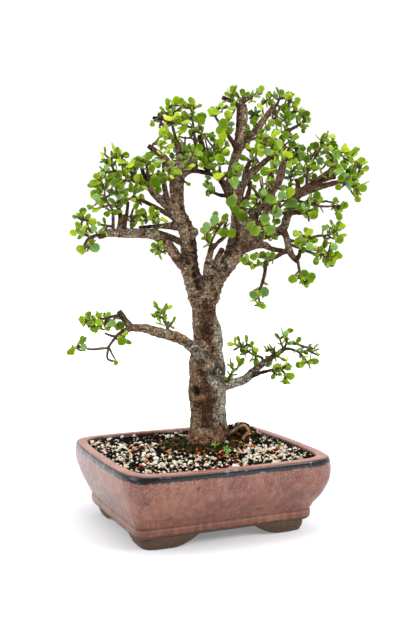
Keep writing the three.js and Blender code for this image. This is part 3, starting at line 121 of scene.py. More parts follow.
# Each branch: depth at its start and end, then its points as x, z and radius, from inside its parent outwards
BRANCHES = {
    "left_limb": [0, 0, (-8, 262, 14), (-15, 280, 11.5), (-21, 300, 10.5), (-23, 335, 9), (-28, 350, 9.3),
        (-34, 363, 8.2)],
    "left_stub": [0, -4, (-24, 340, 5.5), (-12, 342.5, 4.6)],
    "left_upright": [0, 14, (-33, 358, 7), (-36, 380, 5.7), (-35, 400, 5.5), (-32, 410, 5.2),
        (-33, 430, 4), (-37, 450, 3.4)],
    "left_inner": [12, 21, (-32, 406, 3.8), (-19, 414, 3), (0, 411, 2.7), (12, 406.5, 2.8),
        (19, 396, 3.2), (25, 384, 3.4)],
    "left_leaning": [0, -22, (-35, 392, 4), (-43, 411, 3.9), (-49, 427, 4.2), (-60, 436, 3.3),
        (-70, 443.5, 2.9)],
    "left_inner_rise": [21, 18, (-1, 412, 2.4), (-3, 430, 2.6), (-7, 446, 3.5), (-10, 456, 2.6)],
    "left_low_fork": [-38, -36, (-100, 343, 3), (-96, 362, 2.2), (-94, 378, 1.8)],
    "left_outer": [0, -36, (-33, 358, 6.5), (-43, 368, 5), (-61, 385, 4.5), (-71, 396, 4),
        (-89, 404, 2.8), (-98, 410, 2.3)],
    "left_outer_rise": [-10, -22, (-45, 370, 4), (-50, 390, 3.3), (-52, 405, 2.8)],
    "left_outer_twig": [-20, -24, (-70, 395, 3), (-75, 408, 2.6), (-79, 421, 2)],
    "left_middle": [0, -38, (-36, 358, 5), (-47, 363, 3.2), (-67, 374, 2.4), (-80, 380, 2.1)],
    "left_low": [-4, -50, (-18, 294, 8.5), (-32, 306, 6.5), (-45, 324, 6), (-54, 332.5, 6),
        (-67, 339.5, 5.8), (-99, 340.5, 5.4), (-118, 340.5, 4.4), (-130, 336, 3.2)],
    "left_low_strand": [-3, -24, (-24, 326, 4.5), (-38, 333, 4), (-51, 339, 3), (-65, 343, 3)],
    "left_low_thin": [0, -12, (-25, 347, 5.6), (-42, 349, 4.8), (-60, 348.5, 2.6), (-82, 347.5, 1.7)],
    "left_low_rise": [-39, -33, (-105, 341, 4), (-103, 356, 3.1), (-105, 370, 2.4)],
    "right_limb": [0, 3, (0, 262, 14), (5, 274, 11.6), (12, 288, 10.2), (24, 303, 9.3), (36, 319, 8.5),
        (42, 332, 8)],
    "centre": [3, 12, (40, 327, 8), (41, 347, 7), (36, 362, 6), (26, 389, 5.2), (31, 424, 5.2),
        (36, 439, 5.8), (40, 468, 6.4), (40.7, 480, 6.9), (41, 492, 5.4)],
    "centre_stub": [8, -3, (35, 438, 3.4), (28, 450, 2.8), (17, 465, 2.5)],
    "centre_right": [9, 36, (36, 438, 4.4), (47, 449, 3.9), (67, 474.5, 3.8), (79, 490, 3.3)],
    "centre_top_twig": [12, 6, (39, 488, 3.2), (30, 494.5, 2.6), (17, 500, 2.5)],
    "left_top_twig": [6, 4, (-42, 470, 2.3), (-52, 475, 2.2), (-65, 476, 2.1)],
    "right_far_twig": [-4, -6, (102, 380, 3.2), (107, 396, 2.8), (104, 405, 2)],
    "centre_front": [3, -24, (34, 366, 5), (37, 388, 4.2), (44, 401, 4), (68, 425, 3.3), (78, 432, 2.8)],
    "centre_front_rise": [3, -12, (37, 380, 3.6), (43, 399, 3.6), (45, 413, 3.4), (50, 425, 2.5)],
    "centre_front_twin": [2, -9, (40, 368, 3.4), (48, 386, 3), (51, 402, 2.4)],
    "centre_twig": [6, -9, (27, 386, 3.4), (17, 385, 2.4), (8, 388, 1.7)],
    "right_upright": [3, 28, (41, 334, 6.5), (50, 352, 5.5), (64, 374, 5), (76, 390, 5), (84, 402, 5),
        (88, 416, 4.8), (91, 430, 4), (87, 450, 3.6), (98, 463, 2.8)],
    "right_inner": [12, 3, (75, 390, 3.6), (76, 412, 3), (79, 430, 2.3)],
    "right_outer": [0, -6, (38, 320, 7.5), (58, 335, 6), (87, 344, 5.2), (94, 358, 4.8), (101, 377, 4.2),
        (110, 386, 3.6)],
    "right_far": [-6, -3, (108, 385, 3.4), (130, 394, 3.6), (150, 399.5, 3.1), (164, 402, 2.2)],
    "right_far_upper": [-6, -8, (104, 386, 3.4), (120, 397, 3), (134, 405, 2.7), (148, 413, 2.2)],
    "right_far_middle": [-8, -12, (110, 390, 2.8), (132, 401, 2.7), (152, 407, 2.3)],
    "right_far_rise": [-6, -15, (109, 385, 3.2), (128, 403, 2.4)],
    "right_arch": [-4, -24, (92, 356, 4), (100, 365, 3.2), (110, 364, 2.4)],
    "right_low": [-3, -30, (88, 346, 4.6), (94, 335, 4), (98, 318, 4), (107.7, 305.7, 2.4)],
    "right_low_left": [-20, -30, (97, 320, 3), (90, 317.5, 2.6), (79, 311, 2.3)],
    "right_crossing": [-3, -20, (42, 320, 3.8), (58, 326, 4.2), (68, 326.5, 4.2), (76, 322, 3),
        (93, 319, 2.4)],
    "right_low_stub": [-28, -26, (105, 307, 2.8), (109, 314, 2.4), (110, 321, 1.8)],
    "right_low_hang": [-31, -32, (68, 306, 2.4), (68.5, 296, 2.2), (66, 284, 2), (63, 275, 1.7)],
    "fork_shoot": [-9, -15, (-2, 268, 6), (-1, 292, 4.6), (0, 303, 4.2), (3, 315, 3.8), (5, 327, 3)],
    "fork_side": [-12, -14, (4, 320, 2.8), (13, 330, 2.3), (21, 337, 1.8)],
    "fork_ridge": [-9, -12, (6, 290, 5.5), (10, 304, 4.4), (15, 316, 3.6), (18, 323, 2.8)],
    "low_left": [-20, -46, (-10.5, 196.5, 6.4), (-16, 202, 6.4), (-26, 211, 6), (-36, 216, 6.2),
        (-57, 222, 5.9), (-75, 227, 5), (-91, 228, 4.2)],
    "low_left_cut": [-45, -45, (-90, 228, 4), (-96, 234, 3.8), (-106, 248, 3.3)],
    "low_left_end": [-45, -51, (-89, 228, 3.8), (-103, 223, 2.8)],
    "low_right": [-6, 9, (12, 157, 8), (22, 159, 6.4), (33, 162, 5.6), (45, 166, 5.2), (53, 174, 4.6),
        (69, 187, 3.7), (84, 197, 3.2), (91, 202, 2.8)],
    "low_right_dark": [3, -12, (48, 168, 3.4), (62, 173.4, 2.4), (74, 176.5, 2)],
    "back_limb": [9, 93, (14, 292, 8), (26, 316, 6.5), (32, 345, 5.5), (34, 376, 4.6), (44, 402, 3.6),
        (56, 420, 2.6)],
    "back_left_limb": [3, 84, (-22, 318, 7), (-27, 345, 5.5), (-32, 376, 4.4), (-30, 405, 3.4),
        (-24, 424, 2.5)],
    "front_left_limb": [-3, -87, (-22, 322, 7), (-29, 345, 5.2), (-38, 372, 4.2), (-42, 396, 3.2),
        (-42, 408, 2.4)],
    "front_right_limb": [-3, -84, (48, 330, 6), (60, 346, 4.6), (70, 366, 3.8), (78, 388, 2.8)],
    "knot": [-6, -20, (6, 175, 5.5), (17.5, 175, 4.6)],
    "root_front": [-10, -30, (-6, 98, 12), (-10, 84, 7)],
    "root_left": [2, 8, (-12, 96, 11), (-32, 80, 6)],
    "root_right": [10, 26, (16, 98, 10), (34, 88, 6), (40, 82, 4)],
    "root_arch": [-10, -8, (24, 98, 2.4), (33, 105, 2.1), (42, 110.5, 1.9), (45.6, 109.4, 1.9),
        (49.6, 104, 2.1), (47.5, 100, 2), (44.4, 96.6, 1.9), (41.5, 92, 1.9), (40, 84, 1.9)],
}

# Each leafy shoot: its main stem, then its side twigs, as one point or a list of them. Points are x, z and,
# where it is given, y
SHOOTS = {
    "low_left_branch_end": [[(-130, 338.5, -50), (-141, 334, -52), (-147, 325, -56), (-148, 319, -57)],
        [(-152, 343, -54), (-148, 356), (-147, 368)], (-158, 343), (-157, 362), (-140, 357), (-137, 327),
        (-142, 344, -69)],
    "low_left_branch_rise": [
        [(-112, 344, -44), (-112, 358, -48), (-113, 368, -51), (-121, 382, -54), (-122, 397, -54)],
        [(-124, 350), (-133, 352)], (-124, 340), (-131, 384), (-136, 399), (-128, 409), (-130, 372),
        (-113, 388)],
    "low_left_branch_fan": [[(-105, 369, -33), (-106, 384, -36), (-111, 401, -39)], (-112, 375),
        (-100, 398, -15), (-96, 386, -45), (-88, 381, -33), (-82, 393, -21), (-104, 408, -51)],
    "left_outer_end": [[(-97, 409, -35), (-110, 414, -39), (-116, 431, -42)], (-128, 429), (-124, 437),
        (-120, 416), (-107, 439), (-94, 433), (-101, 424, -54), (-127, 414, -30)],
    "left_outer_middle": [[(-87, 403, -30), (-90, 414, -27), (-92, 424, -21)], (-106, 405, -51),
        (-96, 412, -45), (-84, 424), (-99, 418, -6)],
    "left_outer_inner": [[(-71, 397, -22), (-72, 420, -26), (-82, 431, -28)], (-82, 404, -36),
        (-79, 394, -45), (-72, 431), (-64, 408, -39), (-86, 422)],
    "left_rise_end": [[(-52, 404, -22), (-53, 426, -26), (-60, 434, -27), (-69, 443, -30)],
        (-62, 405, -39), (-61, 424, -42), (-63, 448), (-55, 457, -15), (-56, 446, -36), (-44, 421, -33),
        (-46, 440, -30)],
    "left_low_bend": [[(-60, 341, -26), (-62, 352, -27), (-68, 362, -30)], (-58, 366), (-79, 366),
        (-57, 356), (-80, 355)],
    "left_low_middle": [[(-90, 343, -38), (-90, 362, -28), (-85, 377, -24)], (-79, 385), (-77, 373),
        (-97, 360), (-86, 352)],
    "left_low_sucker": [[(-44, 324, -12), (-53, 318, -18), (-59, 320, -21)], (-62, 327), (-54, 325),
        (-58, 314)],
    "left_top": [[(-37, 449, 14), (-42, 469, 9), (-46, 482, 8), (-47, 491, 6)], (-54, 483), (-39, 495),
        (-34, 486, 24), [(-54, 474), (-64, 474)], (-58, 462), (-52, 455, -12), (-36, 474, -9)],
    "left_top_right": [[(-13, 413, 15), (-15, 451, 12), (-18, 476, 9), (-20, 491, 8)], (-11, 491),
        (-28, 490), (-9, 479), (-27, 478), (-5, 465), (-27, 467), (1, 456, 24), (-22, 455, 27)],
    "left_inner_end": [[(1, 410, 21), (4, 424, 21), (7, 436, 18)], [(-8, 428, 12), (-10, 440, 9)],
        (-1, 441, 30), (10, 446, 6), (10, 418, 33), (-1, 399), (-4, 424, 0)],
    "left_upright_side": [[(-33, 427, 14), (-26, 438, 18), (-18, 446, 21)], (-34, 440, 30),
        (-27, 430, 33), (-12, 434, 30), (-22, 424, 3)],
    "left_upright_low": [[(-34, 404, 9), (-27, 403, 3)], (-23, 400), (-31, 416, -9), (-22, 416, -15)],
    "front_left_cloud": [[(-42, 407, -84), (-46, 418, -93), (-52, 430, -99)], (-58, 424, -105),
        (-54, 438, -114), (-18, 426, -90), (-10, 436, -81), (-38, 408, -111), (-54, 408, -75),
        (-20, 414, -108), (-14, 444, -108)],
    "back_left_cloud": [[(-24, 423, 84), (-26, 440, 96), (-34, 454, 105)], (-10, 438, 90),
        (-14, 424, 105), (-44, 446, 90), (-38, 430, 111), (-26, 458, 84), (-20, 440, 123),
        (-42, 416, 93)],
    "fork_shoot_end": [[(2, 325, -15), (6, 334, -14), (13, 345, -12)], (-5, 337), (5, 350), (24, 345),
        (14, 329, -24), (15, 354)],
    "centre_twig_end": [[(8, 388, -9), (3, 391, -10), (-1, 398, -12)], (-1, 387), (8, 398)],
    "centre_left": [[(17.5, 464, -3), (10, 476, -8), (2, 484, -9)], (14, 492), (14, 472, -21),
        (26, 478, 3), (28, 490), (22, 468, 15)],
    "centre_top": [[(41, 491, 12), (42, 498, 12), (41, 507, 12)], [(30, 494), (18, 499)], (30, 508),
        (24, 503, -6), [(52, 500), (63, 510)], (53, 504, 30), (52, 494, -6), (34, 500, 30)],
    "centre_right_end": [[(79, 487, 36), (84, 496, 39), (86, 508, 40)], (72, 506), (98, 503),
        (92, 496, 21), (104, 493), (68, 495), (61, 490, 21), (90, 487, 54), (80, 476, 51)],
    "centre_right_low": [[(58, 460, 26), (56, 470, 22), (57, 482, 21)], (50, 488), (48, 474),
        (64, 478, 9), (46, 462, 36)],
    "right_upright_rise": [[(88, 450, 27), (93, 465, 30), (98, 479, 32)], (104, 491), (109, 484),
        (92, 478, 15), (84, 471), (78, 465, 39), (104, 453), (96, 456, 45)],
    "right_upright_end": [[(97.5, 462, 28), (112, 470, 26), (121, 474, 24)], (113, 486), (118, 480),
        (114, 463), (104, 474, 39)],
    "right_upright_side": [[(92, 429, 28), (94, 440, 21), (90, 446, 15)], (82, 446), (100, 444),
        (112, 441), (101, 428, 39), (88, 434, 6), (104, 434, 12)],
    "centre_front_end": [[(78, 431, -24), (76, 440, -27), (72, 450, -30)], (64, 456), (84, 448),
        (64, 440), (86, 434, -39), (74, 432, -42), (58, 450, -12)],
    "centre_front_middle": [[(54, 411, -15), (54, 424, -18), (52, 440, -18)], (60, 430, -30), (44, 428),
        (60, 444), (44, 442, -27), (64, 420, -33)],
    "centre_low": [[(26, 395, 4), (17, 406, -3), (14, 422, -6), (15, 440, -9)], (25, 410, -15), (10, 412),
        (24, 424), (34, 404, -21), (6, 430), (10, 450), (24, 446, -3), (20, 434, -21), (36, 420, -27)],
    "back_cloud": [[(56, 419, 93), (58, 436, 102), (66, 452, 108)], (44, 432, 90), (72, 440, 99),
        (56, 456, 117), (80, 456, 96), (40, 450, 105), (62, 468, 99), (74, 424, 111), (46, 420, 117),
        (50, 472, 90)],
    "front_cloud": [[(78, 387, -84), (82, 400, -93), (84, 416, -99)], (70, 404, -99), (94, 408, -90),
        (76, 428, -105), (96, 426, -99), (66, 418, -87), (90, 392, -105), (66, 390, -93), (86, 438, -90)],
    "right_rise_side": [[(107, 382.5, -6), (117, 398, 3), (118, 412, 9), (129, 433, 15), (138, 445, 18)],
        (134, 453), (144, 458), (152, 451), (128, 442), (123, 431, 30), (112, 420, -6), (105, 425, 18),
        (112, 406, 24), (126, 420, -12)],
    "right_far_rise_end": [[(127.5, 402.5, -15), (140, 412, -15), (152, 420, -18)],
        [(138, 404, 0), (150, 413, 9)], (149, 441), (154, 431), (162, 440, -30), (142, 428, -27),
        (156, 414, -30), (168, 430, 3), (176, 439, -9), (162, 422, 18), (132, 414, -36)],
    "right_far_end": [[(164, 402, -3), (173, 404, -3), (180, 412, -4)], (184, 427), (186, 415),
        (170, 413, 12), (186, 394), (176, 395, -18), (179, 384), (157, 393, -12), (166, 390, 12),
        (162, 410, -21)],
    "right_upright_low": [[(88, 406, 21), (98, 406, 15), (104, 412, 9)], (110, 412, 21), (100, 396, 3),
        (94, 393, -6), (98, 420, -6)],
    "right_arch_end": [[(110, 364, -22), (119, 362, -24)], (126, 361), (121, 353), (117, 371)],
    "right_outer_twig": [[(98, 375, -6), (108, 378, -3), (128, 373, 0), (142, 372, 0), (152, 373, 2)],
        (161, 374), (156, 363), (134, 381), (104, 388, 12), (90, 384, 9), (114, 368, 12), (124, 384, -12),
        (144, 380, 12)],
    "right_outer_low": [[(70, 339, -3), (70, 346, -6), (68, 354, -8)], (59, 346), (76, 346),
        (80, 334, -15), (63, 360, 6)],
    "right_upright_base": [[(62, 371, 10), (70, 370, 3), (77, 373, -3)], (84, 366), (66, 386, -3),
        (54, 374, -9), (80, 382), (44, 364, -12)],
    "right_low_twig": [
        [(94, 328, -9), (104, 325, -14), (124, 317, -18), (138, 314, -22), (149, 306, -27)], (143, 316),
        (157, 314), (144, 302), (131, 310), (124, 325), (136, 321), (113, 327, -27)],
    "right_low_outer": [
        [(94, 333, -9), (107, 331, -12), (130, 337, -16), (142, 338, -18), (154, 346, -21)],
        (152, 350, -6), (160, 349), (157, 335), (140, 348), (145, 326), (122, 344), (110, 341),
        (127, 329, -30)],
    "right_low_end": [[(107.7, 305.7, -30), (110, 294, -33), (115, 282, -36), (120, 275, -39)],
        (103, 286), (112, 290), (122, 288)],
    "right_low_left_end": [[(79, 311, -29), (68, 305.7, -32), (60, 302, -33)],
        [(68.5, 297, -32), (65, 284, -32), (59, 264, -33)], (50, 303), (44, 309), (62, 314), (72, 317),
        (67, 270), (64, 254)],
    "low_left_end": [[(-102, 242, -45), (-111, 242, -45), (-127, 238, -46), (-139, 235.5, -48)],
        (-151, 236), (-144, 244), (-132, 246), (-145, 228), (-135, 225), (-120, 247), (-124, 229),
        (-112, 231, -36)],
    "low_left_drop": [[(-102.5, 223, -51), (-109, 217.5, -51), (-118, 205.5, -52), (-122.5, 200, -52)],
        [(-138, 202), (-152, 204.5)], (-155, 208), (-160, 204), [(-120, 192), (-109, 184)], (-126, 223.5),
        (-101, 211, -54)],
    "low_left_shoot": [[(-46, 222, -33), (-51, 238, -36), (-54, 249, -38)], (-61, 253), (-47, 253),
        (-62, 240), (-48, 241), (-39, 238, -24)],
    "low_right_base": [[(23, 163, -9), (28, 172, -15), (36, 180, -18)], (25, 186), (33, 176), (41, 187)],
    "low_right_diagonal": [[(66, 186, 4), (65, 192, 3), (54, 196, 0), (40, 206, -3)], (36, 216),
        (29, 211), (49, 211), (56, 205), (43, 195), (56, 189, -9)],
    "low_right_middle": [[(78, 193, 8), (80, 200, 4), (78, 206, 3)], (67, 203), (89, 192, -6),
        (74, 192, 18)],
    "low_right_end": [[(91, 202, 9), (99, 202.5, 8), (110, 198, 6), (119, 188, 4)],
        [(95, 212), (93, 222)], (85, 219), (99, 225), (111, 211), (123, 204), (134, 203), (135, 195),
        (124, 182), (112, 184)],
    "low_right_dark_end": [[(74, 176.5, -12), (84, 179, -14), (91, 179.4, -15)], (97, 184), (86, 171),
        (96, 170), (92, 163)],
}

# Single leaves that face the viewer: middle as x and z, direction of the tip in degrees, length, width, tone
# and, where they are given, how much bluish sheen is painted on it and how far in front of its shoot it
# stands
FACING = {
    "centre_low": [(34, 417, 60, 14, 12, 0.3, 0.3), (32, 400, 95, 15, 11, 0.5, 0.7),
        (29, 379, 240, 17, 13, 0.2, 0.2), (13, 408, 200, 14, 9, 0.8), (14, 428, 120, 12, 10, 0.6)],
    "right_upright_base": [(82, 354, 10, 10, 8, 0.15), (52, 350, 230, 12, 9, 0.3, 0.2, 45),
        (108, 367, 0, 12, 8, 0.15), (44, 375, 20, 12, 10, 0.25, 0.2), (41, 361, 280, 15, 14, 0.15),
        (68, 356, 80, 12, 12, 0.25, 0.2, 62), (66, 388, 150, 12, 10, 0.08, 0, 90),
        (76, 380, 160, 14, 12, 0.25, 0, 90), (57, 344, 215, 14, 13, 0.4, 0.2, 45),
        (73, 345, 340, 14, 12, 0.3, 0.2, 45), (82, 366, 285, 16, 13, 0.3, 0.6),
        (88, 384, 60, 12, 11, 0.5, 0.8), (98, 388, 70, 14, 11, 0.65), (58, 406, 190, 13, 9, 0.25),
        (55, 396, 320, 8, 3, 0.3), (54, 384, 160, 8, 5, 0.6), (75, 404, 180, 12, 6, 0.35),
        (78, 413, 330, 12, 5, 0.35), (33, 369, 300, 12, 11, 0.2)],
    "right_outer_twig": [(98, 375, 10, 18, 13, 0.15, 0.2), (98, 368, 0, 16, 9, 0.1, 0.2),
        (110, 371, 340, 13, 12, 0.15), (130, 384, 100, 13, 9, 0.15), (122, 380, 60, 8, 7, 0.5, 1),
        (152, 379, 110, 9, 6, 0.35), (162, 372, 10, 8, 7, 0.4), (156, 361, 280, 12, 8, 0.3)],
    "right_arch_end": [(125, 362, 335, 12, 11, 0.3)],
    "fork_shoot_end": [(9, 362, 60, 10, 7, 0.3, 0.3), (-5, 343, 120, 10, 7, 0.4, 0.6),
        (22, 360, 80, 8, 6, 0.25), (-1, 348, 100, 12, 9, 0.4, 0.8), (8, 355, 60, 14, 11, 0.45, 0.8),
        (20, 358, 50, 10, 8, 0.3), (18, 341, 330, 11, 11, 0.2), (28, 340, 30, 12, 11, 0.35)],
    "centre_left": [(27, 461, 200, 10, 7, 0.15), (14, 460, 100, 12, 8, 0.4), (30, 490, 100, 9, 6, 0.25),
        (8, 483, 172, 17, 10, 0.6), (19, 467, 100, 16, 12, 0.3), (18, 456, 260, 12, 11, 0.6)],
    "centre_top": [(30, 509, 95, 10, 8, 0.55), (41, 506, 85, 8, 7, 0.25), (63, 509, 60, 10, 8, 0.6)],
    "centre_right_end": [(71, 464, 300, 9, 7, 0.3), (98, 479, 310, 13, 12, 0.3, 0.6),
        (106, 496, 70, 9, 8, 0.6), (97, 503, 5, 12, 5, 0.5), (87, 505, 100, 9, 8, 0.25, 0.2),
        (84, 472, 80, 10, 9, 0.5, 0.2), (75, 470, 70, 10, 9, 0.8, 0.3)],
    "right_upright_end": [(117, 480, 80, 9, 8, 0.1), (113, 466, 300, 11, 7, 0.2)],
    "right_upright_side": [(92, 455, 80, 11, 9, 0.35), (100, 444, 80, 11, 10, 0.1),
        (112, 440, 350, 9, 8, 0.08), (104, 453, 15, 9, 6, 0.4), (95, 433, 330, 14, 9, 0.7),
        (111, 431, 80, 11, 9, 0.2, 0.3), (103, 425, 20, 9, 7, 0.6)],
    "centre_front_end": [(72, 436, 180, 11, 10, 0.15, 0.5), (64, 440, 160, 12, 9, 0.65),
        (80, 457, 25, 14, 6, 0.7), (85, 445, 100, 12, 8, 0.6, 0.4)],
    "left_inner_end": [(6, 451, 120, 10, 7, 0.2), (-19, 423, 100, 12, 11, 0.08, 0.1),
        (0, 421, 350, 14, 9, 0.35), (-25, 440, 150, 10, 8, 0.3), (-10, 440, 60, 12, 10, 0.4),
        (-3, 433, 20, 10, 9, 0.25), (3, 456, 345, 16, 5, 0.35), (16, 447, 35, 14, 5, 0.15)],
    "left_top_right": [(-13, 474, 120, 10, 8, 0.3), (-20, 496, 90, 9, 6, 0.45),
        (-31, 460, 10, 14, 6, 0.6), (-7, 472, 80, 10, 9, 0.4), (-29, 464, 0, 12, 7, 0.35),
        (-14, 463, 350, 9, 5, 0.25), (-26, 471, 10, 12, 5, 0.9)],
    "left_top": [(-31, 495, 80, 9, 7, 0.4), (-65, 469, 250, 8, 6, 0.4), (-50, 463, 260, 12, 8, 0.55, 0.3),
        (-45, 475, 170, 14, 7, 0.95), (-36, 478, 60, 9, 8, 0.85)],
    "left_low_middle": [(-78, 366, 30, 10, 7, 0.4), (-88, 351, 200, 9, 7, 0.1),
        (-98, 359, 150, 8, 7, 0.12)],
    "left_low_bend": [(-63, 363, 120, 7, 5, 0.45), (-55, 357, 0, 8, 3, 0.4)],
    "right_low_left_end": [(56, 268, 220, 12, 11, 0.15, 0.3), (67, 270, 30, 13, 12, 0.15, 0.3),
        (62, 256, 325, 13, 6, 0.35), (56, 313, 200, 12, 8, 0.3)],
    "right_low_end": [(102, 286, 200, 12, 9, 0.3), (115, 291, 60, 12, 11, 0.2),
        (123, 289, 350, 11, 10, 0.25)],
    "left_upright_side": [(-42, 431, 100, 10, 6, 0.1), (-30, 420, 80, 12, 9, 0.3, 0.5),
        (-33, 428, 70, 12, 7, 0.5, 0.9), (-43, 422, 120, 9, 9, 0.6, 1), (-38, 407, 60, 12, 5, 0.4, 0.8)],
    "left_outer_middle": [(-82, 404, 100, 12, 12, 0.75), (-80, 396, 270, 14, 14, 0.2, 0.5)],
    "left_outer_inner": [(-66, 416, 60, 12, 8, 0.3), (-58, 392, 250, 10, 8, 0.15),
        (-62, 402, 280, 17, 14, 0.15), (-70, 430, 20, 12, 8, 0.3), (-53, 408, 300, 12, 9, 0.1)],
    "left_outer_end": [(-115, 407, 20, 14, 8, 0.25), (-115, 402, 180, 12, 9, 0.1),
        (-105, 408, 200, 10, 9, 0.1), (-107, 438, 60, 8, 6, 0.35), (-120, 417, 80, 8, 6, 0.5, 1),
        (-124, 409, 75, 8, 5, 0.7, 1), (-102, 425, 160, 10, 7, 0.9), (-92, 420, 20, 10, 6, 0.9)],
    "low_left_branch_rise": [(-138, 371, 160, 10, 5, 0.4), (-118, 364, 200, 10, 6, 0.2),
        (-133, 400, 180, 12, 8, 0.5), (-131, 382, 130, 10, 9, 0.5, 1), (-127, 391, 270, 8, 5, 0.1),
        (-130, 408, 200, 10, 8, 0.4), (-111, 400, 20, 12, 9, 0.15)],
    "low_left_branch_fan": [(-104, 383, 50, 9, 6, 0.4, 0.9), (-97, 380, 340, 8, 6, 0.1),
        (-107, 366, 180, 12, 6, 0.25)],
    "low_left_branch_end": [(-153, 350, 140, 9, 6, 0.5), (-137, 331, 200, 8, 6, 0.2),
        (-158, 341, 180, 10, 8, 0.65), (-148, 319, 180, 11, 6, 0.65), (-135, 345, 80, 9, 8, 0.35, 0.8),
        (-149, 341, 90, 10, 7, 0.4, 0.3)],
    "right_rise_side": [(117, 427, 90, 11, 8, 0.2), (120, 439, 60, 9, 6, 0.25),
        (127, 416, 10, 10, 6, 0.4), (128, 443, 110, 11, 9, 0.1), (150, 442, 60, 9, 9, 0.15),
        (133, 425, 70, 11, 9, 0.12, 0.5), (126, 407, 60, 9, 7, 0.35), (136, 435, 0, 9, 5, 0.15)],
    "right_far_rise_end": [(141, 440, 330, 9, 5, 0.3), (153, 433, 120, 12, 12, 0.35, 0.4),
        (174, 438, 15, 12, 6, 0.4), (165, 434, 45, 9, 8, 0.4), (155, 414, 10, 13, 9, 0.4, 0.8),
        (145, 422, 170, 10, 6, 0.3)],
    "right_far_end": [(181, 426, 5, 12, 8, 0.5), (183, 394, 330, 12, 11, 0.35),
        (178, 381, 270, 9, 8, 0.4), (172, 412, 60, 10, 8, 0.2), (155, 395, 260, 9, 8, 0.35),
        (158, 405, 40, 10, 9, 0.35), (185, 415, 350, 9, 3, 0.6), (170, 426, 110, 11, 7, 0.45)],
    "right_low_outer": [(159, 348, 30, 9, 8, 0.65), (140, 347, 170, 10, 6, 0.25, 0.2),
        (156, 333, 350, 11, 11, 0.3), (106, 340, 160, 11, 8, 0.6), (120, 341, 30, 12, 8, 0.75),
        (112, 333, 180, 14, 7, 0.3), (125, 331, 0, 12, 6, 0.3)],
    "right_low_twig": [(122, 325, 120, 10, 8, 0.5, 0.9), (150, 325, 300, 11, 9, 0.4, 0.6),
        (134, 320, 60, 9, 8, 0.25), (156, 313, 10, 9, 7, 0.45), (130, 309, 190, 8, 6, 0.4),
        (143, 302, 270, 6, 5, 0.5, 0.9)],
    "low_left_end": [(-149.5, 236, 100, 13, 7, 0.55), (-142, 243, 60, 10, 6, 0.25),
        (-139, 234, 200, 9, 6, 0.3), (-129, 243, 170, 9, 6, 0.45), (-119, 243.5, 20, 9, 5, 0.5),
        (-129, 234, 150, 10, 8, 0.6), (-115, 233, 20, 12, 9, 0.3, 0.6), (-105, 230, 10, 13, 10, 0.05),
        (-133, 226, 200, 11, 6, 0.35), (-120, 227, 330, 8, 5, 0.3)],
    "low_left_shoot": [(-60, 252, 110, 12, 4, 0.3), (-62, 243, 200, 10, 4, 0.4),
        (-52, 241, 30, 10, 4, 0.25)],
    "left_low_sucker": [(-64, 320, 180, 9, 5, 0.3)],
    "low_left_drop": [(-162, 200.5, 215, 13, 7, 0.4), (-150, 212, 35, 14, 7, 0.3),
        (-148, 204.5, 60, 9, 8, 0.4, 1), (-110, 187, 280, 8, 5, 0.4), (-103, 213, 300, 12, 11, 0.3),
        (-98, 221, 30, 8, 6, 0.6)],
}
FACING_FORWARD = 12

# More twigs, which spring from the two limbs behind the crown: points as x, z and y
MORE_TWIGS = {
    "back_cloud": [[(31, 338, 38), (40, 346, 52), (48, 352, 62)],
        [(33, 362, 56), (42, 370, 70), (50, 376, 80)], [(38, 388, 70), (46, 380, 84), (56, 384, 92)],
        [(42, 398, 78), (34, 404, 90), (30, 412, 98)]],
    "back_left_cloud": [[(-27, 345, 42), (-36, 352, 56), (-42, 360, 64)],
        [(-31, 376, 58), (-38, 384, 70), (-40, 394, 78)],
        [(-31, 400, 72), (-40, 402, 86), (-47, 410, 94)]],
}

# Places, as seen from the front, where bare wood or the gap between two branches shows: x, z and reach
BARE = [
    (-25, 453, 8), (-32, 404, 7), (-21, 404, 5), (86, 408, 9), (82, 393, 7), (91, 421, 5), (10, 474, 7),
    (13, 394, 6), (-61, 457, 5), (95, 447, 5), (140, 376, 8), (141, 366, 6), (120, 352, 8), (-90, 368, 8),
    (-78, 373, 6), (-52, 366, 5), (109, 299, 5), (7, 330, 7), (1, 459, 5), (-40, 460, 5), (-36, 447, 5),
    (-32, 434, 3), (48, 406, 5), (-62, 438, 5), (-49, 425, 4), (132, 400, 5), (64, 474, 4), (82, 489, 4),
    (60, 282, 6), (68, 262, 4), (50, 262, 4), (108, 280, 4), (110, 297, 6), (-63, 454, 4), (166, 391, 5),
    (174, 384, 4), (50, 424, 5), (62, 428, 5), (72, 432, 4), (50, 475, 4), (52, 462, 4), (48, 487, 4),
    (25, 496, 4), (-33, 416, 5), (-53, 432, 5), (-147, 357, 4), (-141, 331, 4), (140, 413, 5),
    (158, 399, 4), (12, 398, 6), (-5, 389, 5), (158, 379, 4), (-119, 386, 4), (-94, 382, 4),
    (-66, 442, 4), (86, 496, 5), (70, 424, 8), (62, 418, 4), (-28, 412, 6), (-17, 411, 5), (-52, 412, 4),
    (20, 404, 5), (-72, 408, 4), (8, 448, 4), (103, 471, 5), (-119, 429, 4), (-150, 328, 5),
    (-137, 389, 4), (-131, 426, 4), (-112, 446, 3), (-85, 431, 4), (-47, 499, 4), (-37, 503, 4),
    (107, 499, 4), (155, 387, 4), (146, 299, 4), (-35, 389, 4), (82, 408, 4), (44, 434, 5), (-3, 481, 3),
    (-63, 446, 3), (-160, 204, 14), (-146, 208, 8), (-136, 200, 7), (-118, 196, 10), (-112, 186, 10),
    (-104, 216, 8), (-112, 210, 8), (-122, 219, 8), (-152, 236, 8), (-143, 227, 7), (-131, 222, 7),
    (-133, 247, 5), (-119, 249, 5),
]

